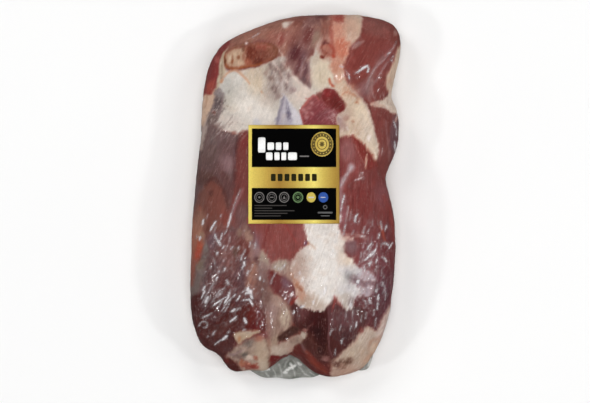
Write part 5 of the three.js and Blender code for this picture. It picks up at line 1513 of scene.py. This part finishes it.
def meat_material():
    t = Tree("raw_beef")
    tone = t.attr("tone", "Color")
    fat = t.attr("fat")
    grain_v = t.attr("grain", "Vector")
    obj = t.coords()
    fibre = t.noise(grain_v, 1.0, 3.0, 0.6)
    coarse = t.noise(t.mapping(grain_v, (0.36, 0.5, 0.4)), 1.0, 2.0)
    lobes = t.voronoi(obj, 330.0)
    mottle = t.noise(obj, 240.0, 3.0, 0.6)
    fine = t.noise(obj, 900.0, 2.0)
    # muscle: lighter and darker bundles; fat: soft lobules
    m1 = t.remap(fibre, 0.30, 0.70, 0.87, 1.15)
    m2 = t.remap(coarse, 0.30, 0.70, 0.91, 1.10)
    muscle = t.math("MULTIPLY", m1, m2)
    f1 = t.remap(lobes, 0.05, 0.65, 1.015, 0.975)
    f2 = t.remap(mottle, 0.30, 0.70, 0.96, 1.04)
    fatty = t.math("MULTIPLY", t.math("MULTIPLY", f1, f2), t.remap(fibre, 0.30, 0.70, 0.94, 1.06))
    level = t.mixf(fat, muscle, fatty)
    level = t.math("MULTIPLY", level, t.remap(fine, 0.3, 0.7, 0.95, 1.05))
    grey = t.node("CombineXYZ")
    for s in grey.inputs:
        t.link(level, s)
    scaled = t.node("VectorMath", operation="MULTIPLY")
    t.link(tone, scaled.inputs[0])
    t.link(grey.outputs[0], scaled.inputs[1])
    # pale threads of sinew in the muscle
    thread = t.remap(t.math("ABSOLUTE", t.math("SUBTRACT", coarse, 0.5)), 0.0, 0.035, 1.0, 0.0, True)
    thread = t.math("MULTIPLY", thread, t.remap(mottle, 0.45, 0.65, 0.0, 0.25))
    thread = t.math("MULTIPLY", thread, t.math("SUBTRACT", 1.0, fat, clamp=True))
    colour = t.mix(thread, scaled.outputs[0], tuple(lin((172, 132, 124))))
    rough = t.remap(mottle, 0.3, 0.7, 0.42, 0.62)
    height = t.mixf(fat, fibre, t.math("MULTIPLY", lobes, 0.6))
    normal = t.bump(height, 0.0007, 0.55)
    return t.end(t.principled(colour, rough, normal, Specular_IOR_Level=0.15))


def film_material():
    t = Tree("clear_shrink_film")
    obj = t.coords()
    wr = t.attr("wrinkled")
    crease_glint = t.attr("crease_glint")
    haze = t.attr("haze")
    left = t.attr("leftness")
    bent = t.warp(obj, 75.0, 0.0045)

    def folds(direction, across, along):
        """Distance to the lines of a net of folds drawn out along a direction, 0 on the line."""
        v = t.turned(bent, direction, (1 / across, 1 / along, 1 / along))
        d = t.voronoi(v, 1.0, "DISTANCE_TO_EDGE")
        return d

    small = t.mixf(left, folds(83, 0.0042, 0.0095), folds(60, 0.0046, 0.0110))
    large = t.mixf(left, folds(88, 0.0085, 0.026), folds(58, 0.0090, 0.024))
    line_s = t.remap(small, 0.0, 0.17, 1.0, 0.0, True)
    line_l = t.remap(large, 0.0, 0.085, 1.0, 0.0, True)
    patch = t.noise(obj, 85.0, 3.0, 0.6)
    patch_s = t.remap(patch, 0.46, 0.66, 0.0, 1.0, True)
    patch_l = t.remap(t.noise(obj, 60.0, 2.0), 0.40, 0.60, 0.0, 1.0, True)
    fine = t.mixf(left, t.noise(t.turned(obj, 87, (620, 60, 90)), 1.0, 2.0, 0.55),
                  t.noise(t.turned(obj, 60, (560, 60, 90)), 1.0, 2.0, 0.55))
    soft = t.noise(obj, 130.0, 3.0, 0.55)
    net = t.math("ADD", t.math("MULTIPLY", line_s, t.math("MULTIPLY", patch_s, 0.55)),
                 t.math("MULTIPLY", line_l, patch_l))
    net = t.math("MULTIPLY", net, wr)
    # film over the folds: relief
    height = t.math("ADD", t.math("MULTIPLY", net, 0.6), t.math("MULTIPLY", t.math("MULTIPLY", fine, 0.28), wr))
    height = t.math("ADD", height, t.math("MULTIPLY", soft, 0.40))
    height = t.math("ADD", height, t.math("MULTIPLY", crease_glint, 0.12))
    normal = t.bump(height, 0.0009, 1.0)
    rough = t.remap(wr, 0.0, 0.8, 0.20, 0.17)
    gloss = t.node("BsdfGlossy")
    gloss.inputs["Color"].default_value = (1, 1, 1, 1)
    t.link(rough, gloss.inputs["Roughness"])
    t.link(normal, gloss.inputs["Normal"])
    clear = t.node("BsdfTransparent")
    clear.inputs["Color"].default_value = (1, 1, 1, 1)
    fres = t.node("Fresnel")
    fres.inputs["IOR"].default_value = 1.5
    t.link(normal, fres.inputs["Normal"])
    shine = t.node("MixShader")
    t.link(t.math("MINIMUM", fres.outputs[0], 0.05), shine.inputs[0])
    t.link(clear.outputs[0], shine.inputs[1])
    t.link(gloss.outputs[0], shine.inputs[2])
    # whiteness mixed into the film: partly the real whitening of creased or stretched film, partly painted light, since
    # the fold net, fine streaks, haze and crease glints are highlights and sheen painted as white
    ragged = t.remap(t.noise(obj, 480.0, 3.0, 0.6), 0.38, 0.58, 0.25, 1.0, True)
    streak = t.math("MULTIPLY", t.remap(fine, 0.60, 0.78, 0.0, 0.035, True), wr)
    white = t.math("ADD", t.math("MULTIPLY", net, t.math("MULTIPLY", ragged, 0.075)), streak)
    white = t.math("ADD", white, haze)
    white = t.math("ADD", white, t.math("MULTIPLY", crease_glint, t.remap(ragged, 0.25, 0.8, 0.62, 1.0)), clamp=True)
    white = t.math("MULTIPLY", white, 0.92)
    # the pale white that the painted glints and sheen mix toward
    pale = t.principled(tuple(lin((250, 246, 249))), 0.4, normal, Specular_IOR_Level=0.15)
    whole = t.node("MixShader")
    t.link(white, whole.inputs[0])
    t.link(shine.outputs[0], whole.inputs[1])
    t.link(pale, whole.inputs[2])
    return t.end(whole.outputs[0])


def tail_material():
    """Two layers of crumpled film, greyish where they lie on each other."""
    t = Tree("spare_film")
    obj = t.coords()
    crump = t.noise(obj, 110.0, 2.0, 0.5, 0.4)
    cells = t.voronoi(t.warp(obj, 90.0, 0.004), 130.0, "DISTANCE_TO_EDGE")
    fold = t.remap(cells, 0.0, 0.09, 1.0, 0.0, True)
    height = t.math("ADD", t.math("MULTIPLY", crump, 0.9), t.math("MULTIPLY", fold, 0.10))
    normal = t.bump(height, 0.0011, 1.0)
    mark = t.attr("glint")
    fleck = t.remap(t.noise(obj, 420.0, 3.0, 0.6), 0.36, 0.54, 0.45, 1.0, True)
    shades = t.ramp(t.noise(t.warp(obj, 60.0, 0.006), 90.0, 2.0, 0.5),
                    [(0.30, (108, 111, 104)), (0.46, (131, 132, 125)), (0.56, (143, 144, 138)), (0.68, (164, 165, 159))])
    colour = t.mix(t.math("MULTIPLY", mark, fleck), shades, tuple(lin((240, 240, 236))))
    colour = t.mix(t.math("MULTIPLY", fold, 0.07), colour, tuple(lin((196, 197, 192))))
    body = t.principled(colour, 0.2, normal, Specular_IOR_Level=0.5)
    clear = t.node("BsdfTransparent")
    clear.inputs["Color"].default_value = (1, 1, 1, 1)
    mix = t.node("MixShader")
    t.link(t.remap(crump, 0.3, 0.7, 0.70, 0.90), mix.inputs[0])
    t.link(clear.outputs[0], mix.inputs[1])
    t.link(body, mix.inputs[2])
    return t.end(mix.outputs[0])


meat.data.materials.append(meat_material())
film.data.materials.append(film_material())

# -------------------------------------------------- spare film at the bag's mouth
MOUTH = dict(left=-66.0, right=46.0, edge_y=-210.3, root_y=-166.0, root_z=27.0, edge_z=17.0, wave=0.7)


def sheet(name, nx, ny, point, thick):
    """A thin closed sheet over a grid; point(u, v) gives its middle surface."""
    u, v = np.meshgrid(np.linspace(0, 1, nx + 1), np.linspace(0, 1, ny + 1))
    mid = point(u.ravel(), v.ravel())
    n = (nx + 1) * (ny + 1)
    up = np.array([0, 0, thick / 2])
    pts = np.concatenate([mid - up, mid + up])
    i = np.arange(n).reshape(ny + 1, nx + 1)
    low = np.stack([i[:-1, :-1], i[1:, :-1], i[1:, 1:], i[:-1, 1:]], -1).reshape(-1, 4)
    high = np.stack([i[:-1, :-1], i[:-1, 1:], i[1:, 1:], i[1:, :-1]], -1).reshape(-1, 4) + n
    rim = np.concatenate([i[0, :-1], i[:-1, -1], i[-1, :0:-1], i[:0:-1, 0]])
    nxt = np.roll(rim, -1)
    wall = np.stack([rim, nxt, nxt + n, rim + n], 1)
    faces = [low, high, wall]
    ob = make_mesh(name, pts, faces)
    return ob


def mouth_point(u, v):
    x = MOUTH["left"] + (MOUTH["right"] - MOUTH["left"]) * u
    middle, half = (MOUTH["left"] + MOUTH["right"]) / 2, (MOUTH["right"] - MOUTH["left"]) / 2
    off = np.abs(x - middle) / half
    rounded = 21 * off ** 3.2 * np.where(x < middle, 1, 0.75)
    edge = MOUTH["edge_y"] + rounded + MOUTH["wave"] * np.sin(x / 4.7)
    y = MOUTH["root_y"] + (edge - MOUTH["root_y"]) * v
    flat = np.stack([x, y, np.zeros_like(x)], 1)
    z = MOUTH["root_z"] + (MOUTH["edge_z"] - MOUTH["root_z"]) * v * v
    z = z + 1.1 * v * np.sin(x / 7.5 + 0.6) + 1.5 * v * noise(flat, 13, 2, 3) + 0.7 * noise(flat, 5, 4, 2)
    return np.stack([x, y, z], 1)


def sheet_places(ob):
    """Picture places of a sheet's points."""
    co = np.zeros(len(ob.data.vertices) * 3, np.float32)
    ob.data.vertices.foreach_get("co", co)
    return picture_place(co.reshape(-1, 3).astype(float) * 1000)


tail = sheet("spare_film_mouth", 150, 60, mouth_point, 0.35)
tail_mat = tail_material()
tail.data.materials.append(tail_mat)
TAIL_PIC = sheet_places(tail)
shine_marks = np.zeros(len(TAIL_PIC))
for line, width, strength in (
        ([(284.6, 372), (288.6, 369), (292, 367.4), (296, 365)], 3.0, 1.0), ([(290.4, 363.6), (292.8, 368.6)], 2.8, 1.0),
        ([(297.6, 362.6), (299.6, 364.2), (301, 364.4)], 2.6, 0.9), ([(283.6, 372.6), (287, 372.6)], 2.2, 0.9),
        ([(261.6, 370.4), (265, 369), (269, 369.4)], 3.2, 0.9), ([(284.6, 367), (286, 363), (288.6, 359.6)], 1.4, 0.35),
        ([(293, 360), (298, 366), (305, 373)], 1.3, 0.3), ([(272, 368), (275, 373), (276, 377)], 1.3, 0.35),
        ([(279, 364), (281, 370), (282, 376)], 1.3, 0.3), ([(301, 369), (305, 374), (311, 377)], 1.4, 0.35),
        ([(310, 372), (315, 376)], 1.4, 0.4), ([(266, 373), (269, 377)], 1.5, 0.45), ([(294, 371), (295, 376)], 1.2, 0.35)):
    shine_marks = np.maximum(shine_marks, stroke(line, width, 1.0, TAIL_PIC) * strength)
put_float(tail, "glint", shine_marks)


def corner_point(u, v):
    deg = -66.9 - 3.6 + 7.2 * u
    r = outline_radius(deg)
    proud = 6.4 * (1 - np.abs(2 * u - 1) ** 1.4) - 0.6
    reach = r - 12 + (12 + proud) * v
    x, y = reach * np.cos(np.radians(deg)), reach * np.sin(np.radians(deg))
    flat = np.stack([x, y, np.zeros_like(x)], 1)
    return np.stack([x, y, equator_height(y) - 2 * v + 0.8 * noise(flat, 5, 1, 2)], 1)


corner = sheet("spare_film_corner", 44, 24, corner_point, 0.35)
corner.data.materials.append(tail_mat)
put_float(corner, "glint", stroke([(370.8, 359), (370.2, 363), (369.6, 367)], 4.4, 1.6, sheet_places(corner)) * 0.7)

# ---------------------------------------------------------------------- label
LW, LH = LABEL_W, LABEL_H
PX = LW / 91.1                                   # mm a picture unit on the label
LIFT_LABEL, LABEL_THICK = -0.05, 0.22


def label_xy(px, py):
    return (np.asarray(px, float) - 293.95) * PX, (174.3 - np.asarray(py, float)) * PX


def label_z(x, y):
    return top_of_pack(np.asarray(x, float) + LABEL_X, np.asarray(y, float) + LABEL_Y) + LIFT_LABEL


def grid_lines(stops, step):
    out = [stops[0]]
    for a, b in zip(stops[:-1], stops[1:]):
        k = max(1, int(round((b - a) / step)))
        out.extend(a + (b - a) * (n + 1) / k for n in range(k))
    return np.array(out)


def build_label():
    x_in0, _ = label_xy(251.8, 0)
    x_in1, _ = label_xy(336.3, 0)
    ys = [float(label_xy(0, v)[1]) for v in (220.0, 188.0, 167.2, 128.4)]
    gx = grid_lines([-LW / 2, float(x_in0), float(x_in1), LW / 2], 1.9)
    gy = grid_lines([-LH / 2, *ys, LH / 2], 1.9)
    X, Y = np.meshgrid(gx, gy)
    x, y = X.ravel(), Y.ravel()
    n = len(x)
    z = label_z(x, y)
    pts = np.concatenate([np.stack([x + LABEL_X, y + LABEL_Y, z], 1),
                          np.stack([x + LABEL_X, y + LABEL_Y, z + LABEL_THICK], 1)])
    i = np.arange(n).reshape(len(gy), len(gx))
    low = np.stack([i[:-1, :-1], i[1:, :-1], i[1:, 1:], i[:-1, 1:]], -1).reshape(-1, 4)
    high = np.stack([i[:-1, :-1], i[:-1, 1:], i[1:, 1:], i[1:, :-1]], -1).reshape(-1, 4) + n
    rim = np.concatenate([i[0, :-1], i[:-1, -1], i[-1, :0:-1], i[:0:-1, 0]])
    nxt = np.roll(rim, -1)
    wall = np.stack([rim, nxt, nxt + n, rim + n], 1)
    ob = make_mesh("pack_label", pts, [low, high, wall])
    cx = ((X[:-1, :-1] + X[1:, 1:]) / 2).ravel()
    cy = ((Y[:-1, :-1] + Y[1:, 1:]) / 2).ravel()
    inside = (cx > x_in0) & (cx < x_in1)
    black = inside & (((cy > ys[0]) & (cy < ys[1])) | ((cy > ys[2]) & (cy < ys[3])))
    band = inside & (cy > ys[1]) & (cy < ys[2])
    slots = np.concatenate([np.full(len(low), 3), np.where(black, 0, np.where(band, 2, 1)), np.full(len(wall), 3)])
    ob.data.polygons.foreach_set("material_index", slots.astype(np.int32))
    put_float(ob, "across", np.concatenate([x, x]) / LW + 0.5)
    put_float(ob, "upward", np.concatenate([y, y]) / LH + 0.5)
    sharp = ob.data.attributes.new("sharp_face", "BOOLEAN", "FACE")
    flags = np.concatenate([np.zeros(len(low) + len(high), bool), np.ones(len(wall), bool)])
    sharp.data.foreach_set("value", flags)
    return ob


def print_material(name, stops=None, colour=None, rough=0.5, spec=0.1):
    t = Tree(name)
    obj = t.coords()
    n = t.noise(obj, 700.0, 2.0)
    if stops is not None:
        base = t.ramp(t.attr("across"), stops)
    else:
        base = None
    vary = t.remap(n, 0.3, 0.7, 0.93, 1.07)
    grey = t.node("CombineXYZ")
    for s in grey.inputs:
        t.link(vary, s)
    mul = t.node("VectorMath", operation="MULTIPLY")
    if base is not None:
        t.link(base, mul.inputs[0])
    else:
        mul.inputs[0].default_value = [float(v) for v in lin(colour)]
    t.link(grey.outputs[0], mul.inputs[1])
    r = t.remap(n, 0.3, 0.7, rough - 0.05, rough + 0.07)
    normal = t.bump(t.noise(obj, 260.0, 3.0), 0.00012, 0.5)
    return t.end(t.principled(mul.outputs[0], r, normal, Specular_IOR_Level=spec))


GOLD_STOPS = [(0.0, (226, 206, 102)), (0.06, (212, 187, 92)), (0.22, (181, 149, 69)), (0.345, (155, 118, 52)),
              (0.50, (180, 151, 70)), (0.61, (206, 183, 92)), (0.72, (230, 214, 113)), (0.83, (196, 170, 83)),
              (0.95, (166, 133, 60)), (1.0, (154, 121, 56))]
label = build_label()
for m in (print_material("label_black", colour=(3, 3, 3), rough=0.5, spec=0.04),
          print_material("label_gold_border", GOLD_STOPS),
          print_material("label_gold_band", GOLD_STOPS),
          print_material("label_paper_edge", colour=(214, 208, 196), rough=0.6, spec=0.2)):
    label.data.materials.append(m)


class Print:
    """Flat printed shapes on the label, each a very thin closed solid."""

    def __init__(self):
        self.pts, self.faces, self.slots, self.count = [], [], [], 0

    def solid(self, x, y, faces, rim, slot, thick=0.05, level=0):
        z = label_z(x, y) + LABEL_THICK + 0.02 + 0.05 * level
        x, y = x + LABEL_X, y + LABEL_Y
        n = len(x)
        self.pts.append(np.stack([x, y, z], 1))
        self.pts.append(np.stack([x, y, z + thick], 1))
        base = self.count
        for f in faces:
            self.faces.append(f[:, ::-1] + base)
            self.faces.append(f + n + base)
            self.slots += [slot] * (2 * len(f))
        for r in rim:
            nxt = np.roll(r, -1)
            self.faces.append(np.stack([r, nxt, nxt + n, r + n], 1) + base)
            self.slots += [slot] * len(r)
        self.count += 2 * n

    def bar(self, px0, py0, px1, py1, slot, level=0, round_ends=True):
        """A bar between two corners in the picture frame, with rounded ends."""
        x0, y1 = label_xy(px0, py0)
        x1, y0 = label_xy(px1, py1)
        w, h = float(x1 - x0), float(y1 - y0)
        r = min(w, h) * (0.5 if round_ends else 0.18)
        k = max(2, int(w / 1.6))
        cols = np.unique(np.concatenate([np.linspace(0, w, k + 1), np.linspace(0, r, 4), w - np.linspace(0, r, 4)]))
        def half(a):
            e = np.minimum(np.minimum(a, w - a), r)
            return h / 2 - r + np.sqrt(np.maximum(0, r * r - (r - e) ** 2)) + 1e-3
        hh = half(cols)
        rows = 3
        X = np.repeat(cols[None], rows, 0)
        Y = np.linspace(-1, 1, rows)[:, None] * hh[None]
        i = np.arange(X.size).reshape(X.shape)
        quads = np.stack([i[:-1, :-1], i[:-1, 1:], i[1:, 1:], i[1:, :-1]], -1).reshape(-1, 4)
        rim = np.concatenate([i[0, :-1], i[:-1, -1], i[-1, :0:-1], i[:0:-1, 0]])
        self.solid(float(x0) + X.ravel(), float(y0) + h / 2 + Y.ravel(), [quads], [rim], slot, level=level)

    def ring(self, px, py, r_out, r_in, slot, level=0, squash=1.0, teeth=0, bite=0.0, turns=48):
        cx, cy = label_xy(px, py)
        a = np.linspace(0, 2 * math.pi, turns, endpoint=False)
        wob = 1 + bite * np.cos(a * teeth) if teeth else np.ones_like(a)
        if r_in > 0:
            radii = np.array([r_in, (r_in + r_out) / 2, r_out]) * PX
        else:
            radii = np.array([0.45, 0.75, 1.0]) * r_out * PX
        X = np.concatenate([cx + r * (wob if k == 2 else 1) * np.cos(a) for k, r in enumerate(radii)])
        Y = np.concatenate([cy + r * (wob if k == 2 else 1) * np.sin(a) * squash for k, r in enumerate(radii)])
        i = np.arange(3 * turns).reshape(3, turns)
        j = np.roll(i, -1, 1)
        quads = np.stack([i[:-1], i[1:], j[1:], j[:-1]], -1).reshape(-1, 4)
        if r_in > 0:
            self.solid(X, Y, [quads], [i[2], i[0][::-1]], slot, level=level)
        else:
            X, Y = np.append(X, cx), np.append(Y, cy)
            tris = np.stack([np.full(turns, 3 * turns), i[0], j[0]], 1)
            self.solid(X, Y, [quads, tris], [i[2]], slot, level=level)

    def outline(self, px_points, slot, level=0):
        """A small star-shaped or convex shape round its own middle."""
        p = np.array(px_points, float)
        x, y = label_xy(p[:, 0], p[:, 1])
        if np.sum(x * np.roll(y, -1) - np.roll(x, -1) * y) < 0:
            x, y = x[::-1], y[::-1]
        n = len(x)
        X, Y = np.append(x, x.mean()), np.append(y, y.mean())
        i = np.arange(n)
        tris = np.stack([np.full(n, n), i, np.roll(i, -1)], 1)
        self.solid(X, Y, [tris], [i], slot, level=level)

    def finish(self, name):
        ob = make_mesh(name, np.concatenate(self.pts), self.faces, smooth_shade=False)
        ob.data.polygons.foreach_set("material_index", np.array(self.slots, np.int32))
        xs = np.concatenate(self.pts)[:, 0] - LABEL_X
        put_float(ob, "across", xs / LW + 0.5)
        return ob


# print slots
WHITE, DARK, GOLD, GREY, GREEN, YELLOW, BLUE, LINE, SHADE, PALE, MARK = range(11)
pr = Print()
# white blocks where a name would stand: two rows, no lettering
for x0, y0, x1, y1 in ((258.0, 137.4, 265.4, 152.6), (267.4, 142.4, 274.0, 150.0), (275.8, 142.4, 281.4, 150.0),
                       (283.2, 142.4, 288.4, 150.0), (266.0, 152.4, 272.6, 160.2), (274.4, 152.4, 279.6, 160.2),
                       (281.4, 152.4, 286.2, 160.2), (288.0, 152.4, 297.0, 160.2)):
    pr.bar(x0, y0, x1, y1, WHITE, round_ends=False)
pr.bar(299.6, 155.6, 309.2, 157.0, GREY)
# round seal with a dark ring of dots
pr.ring(322.1, 144.2, 11.3, 0, GOLD, squash=1.1, teeth=24, bite=0.012, turns=96)
pr.ring(322.1, 144.2, 10.2, 7.0, SHADE, level=1, squash=1.1, turns=64)
for k in range(18):
    ang = 2 * math.pi * k / 18
    pr.ring(322.1 + 8.6 * math.cos(ang), 144.2 - 8.6 * 1.1 * math.sin(ang), 0.62, 0, GOLD, level=2, turns=10)
pr.ring(322.1, 144.2, 5.0, 4.3, SHADE, level=1, squash=1.1)
star = []
for k in range(16):
    rr = 3.2 if k % 2 == 0 else 1.6
    star.append((322.1 + rr * math.cos(math.pi * k / 8), 144.2 - rr * 1.1 * math.sin(math.pi * k / 8)))
pr.outline(star, SHADE, 1)
# row of plain dark blocks on the gold band
for k in range(7):
    pr.bar(270.9 + 6.85 * k, 173.9, 275.7 + 6.85 * k, 181.1, DARK, round_ends=False)
# six round marks
for px, slot in ((259.4, GREY), (271.8, GREY), (284.2, GREY), (298.0, GREEN)):
    pr.ring(px, 197.4, 5.1 if slot == GREY else 5.3, 4.2 if slot == GREY else 3.9, slot, squash=1.06)
    pr.ring(px, 197.4, 3.2, 2.8, slot, squash=1.06)
pr.ring(259.4, 197.4, 1.1, 0, GREY)
pr.bar(270.0, 196.9, 273.6, 197.9, GREY)
pr.outline([(282.7, 199.0), (284.2, 195.6), (285.7, 199.0)], GREY)
pr.ring(298.0, 197.4, 1.5, 0, GREEN)
pr.ring(311.2, 197.4, 4.6, 0, YELLOW, squash=1.1)
pr.bar(308.3, 196.8, 314.1, 198.2, PALE, level=1)
pr.ring(323.3, 197.4, 4.9, 0, BLUE, squash=1.06)
pr.bar(320.6, 197.0, 325.6, 197.9, PALE, level=1)
# thin grey lines where small print would be
for y, x1 in ((205.6, 286.8), (208.2, 272.4), (210.8, 294.6), (213.4, 287.6), (216.0, 281.0)):
    pr.bar(254.4, y - 0.5, x1, y + 0.5, LINE)
pr.ring(325.2, 207.2, 2.2, 1.3, MARK)
pr.bar(317.6, 211.8, 332.8, 213.6, MARK)
pr.bar(320.6, 215.4, 329.8, 216.4, MARK)
marks = pr.finish("label_print")
for m in (print_material("print_white", colour=(244, 244, 242)),
          print_material("print_dark", colour=(36, 34, 16)),
          print_material("print_gold", [(0.66, (150, 122, 56)), (0.76, (196, 168, 80)), (0.84, (206, 182, 94)),
                                        (0.96, (156, 128, 62))]),
          print_material("print_grey", colour=(112, 109, 107)),
          print_material("print_green", colour=(92, 118, 80)),
          print_material("print_yellow", colour=(196, 176, 84)),
          print_material("print_blue", colour=(48, 82, 156)),
          print_material("print_line", colour=(62, 59, 57)),
          print_material("print_shade", colour=(92, 78, 42)),
          print_material("print_pale", colour=(196, 194, 190)),
          print_material("print_mark", colour=(92, 92, 92))):
    marks.data.materials.append(m)

# --------------------------------------------------------- camera, light, floor
scene = bpy.context.scene
cam_data = bpy.data.cameras.new("camera")
cam_data.lens = 18.0 / (590 * UNIT / 2 / CAM_DIST)
cam_data.sensor_width = 36.0
cam_data.clip_start, cam_data.clip_end = 0.05, 60.0
cam = bpy.data.objects.new("camera", cam_data)
cam.location = ((AIM_X - MID_X) * UNIT / 1000, (MID_Y - AIM_Y) * UNIT / 1000, (REF_Z + CAM_DIST) / 1000)
cam.rotation_euler = (0, 0, 0)
scene.collection.objects.link(cam)
scene.camera = cam


def softbox(name, place, size, power, glossy=False, colour=(1, 1, 1)):
    """A soft lamp aimed at the pack; only the glossy ones are mirrored in the film."""
    data = bpy.data.lights.new(name, "AREA")
    data.shape = "RECTANGLE"
    data.size, data.size_y = size
    data.energy = power
    data.color = colour
    ob = bpy.data.objects.new(name, data)
    ob.location = place
    ob.rotation_euler = (Vector((0, 0, 0.03)) - Vector(place)).to_track_quat("-Z", "Y").to_euler()
    ob.visible_glossy = glossy
    scene.collection.objects.link(ob)
    return ob


softbox("overhead", (0.0, 0.0, 3.2), (1.3, 1.3), 34.0)
softbox("key", (-0.95, 0.95, 1.6), (0.7, 0.7), 8.8)
softbox("fill_right", (1.2, 0.5, 1.5), (0.7, 0.7), 6.2)
softbox("fill_front", (0.1, -1.4, 1.45), (0.7, 0.6), 7.4)
softbox("fill_back", (0.2, 1.5, 1.35), (0.7, 0.6), 4.4)
softbox("glint_left", (-1.35, -0.50, 1.35), (0.22, 0.16), 5.6, True)
softbox("glint_right", (1.40, -0.40, 1.35), (0.22, 0.16), 5.2, True)

world = bpy.data.worlds.new("studio")
scene.world = world
world.use_nodes = True
wt = world.node_tree
wt.nodes.clear()
w_out = wt.nodes.new("ShaderNodeOutputWorld")
w_co = wt.nodes.new("ShaderNodeTexCoord")
w_sep = wt.nodes.new("ShaderNodeSeparateXYZ")
w_ramp = wt.nodes.new("ShaderNodeValToRGB")
w_ramp.color_ramp.elements[0].position = 0.0
w_ramp.color_ramp.elements[0].color = (0.50, 0.50, 0.50, 1)
w_ramp.color_ramp.elements[1].position = 0.75
w_ramp.color_ramp.elements[1].color = (0.03, 0.03, 0.03, 1)
w_bg = wt.nodes.new("ShaderNodeBackground")
w_bg.inputs["Strength"].default_value = 1.0
w_cam = wt.nodes.new("ShaderNodeBackground")
w_cam.inputs["Color"].default_value = (0.86, 0.86, 0.86, 1)
w_dim = wt.nodes.new("ShaderNodeBackground")
w_dim.inputs["Color"].default_value = (0.09, 0.09, 0.095, 1)
w_path = wt.nodes.new("ShaderNodeLightPath")
w_mix = wt.nodes.new("ShaderNodeMixShader")
w_mir = wt.nodes.new("ShaderNodeMixShader")
wt.links.new(w_co.outputs["Generated"], w_sep.inputs[0])
wt.links.new(w_sep.outputs["Z"], w_ramp.inputs[0])
wt.links.new(w_ramp.outputs[0], w_bg.inputs["Color"])
wt.links.new(w_path.outputs["Is Glossy Ray"], w_mir.inputs[0])
wt.links.new(w_bg.outputs[0], w_mir.inputs[1])
wt.links.new(w_dim.outputs[0], w_mir.inputs[2])
wt.links.new(w_path.outputs["Is Camera Ray"], w_mix.inputs[0])
wt.links.new(w_mir.outputs[0], w_mix.inputs[1])
wt.links.new(w_cam.outputs[0], w_mix.inputs[2])
wt.links.new(w_mix.outputs[0], w_out.inputs["Surface"])


def floor_material():
    t = Tree("pale_floor")
    n = t.noise(t.coords(), 3.0, 2.0)
    c = t.mix(n, (0.90, 0.90, 0.90), (0.93, 0.93, 0.925))
    near = t.principled(c, 0.8, Specular_IOR_Level=0.1)
    far = t.node("Emission")
    far.inputs["Color"].default_value = (0.86, 0.86, 0.86, 1)
    length = t.node("VectorMath", operation="LENGTH")
    t.link(t.coords(), length.inputs[0])
    blend = t.node("MixShader")
    t.link(t.remap(length.outputs["Value"], 0.9, 2.4, 0.0, 1.0, True), blend.inputs[0])
    t.link(near, blend.inputs[1])
    t.link(far.outputs[0], blend.inputs[2])
    return t.end(blend.outputs[0])


fg = np.linspace(-7000, 7000, 9)
FX, FY = np.meshgrid(fg, fg)
fi = np.arange(81).reshape(9, 9)
floor = make_mesh("floor", np.stack([FX.ravel(), FY.ravel(), np.full(81, -0.2)], 1),
                  [np.stack([fi[:-1, :-1], fi[:-1, 1:], fi[1:, 1:], fi[1:, :-1]], -1).reshape(-1, 4)])
floor.data.materials.append(floor_material())
floor.visible_glossy = False

scene.view_settings.view_transform = "Standard"
scene.view_settings.look = "None"
scene.view_settings.exposure = 0.0
scene.view_settings.gamma = 1.0

# ------------------------------------------------------------------ the frame
for piece in (meat, film, tail, corner):
    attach(piece, "root")
    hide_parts("pack")
for piece in (label, marks):
    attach(piece, "root")
    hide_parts("label")
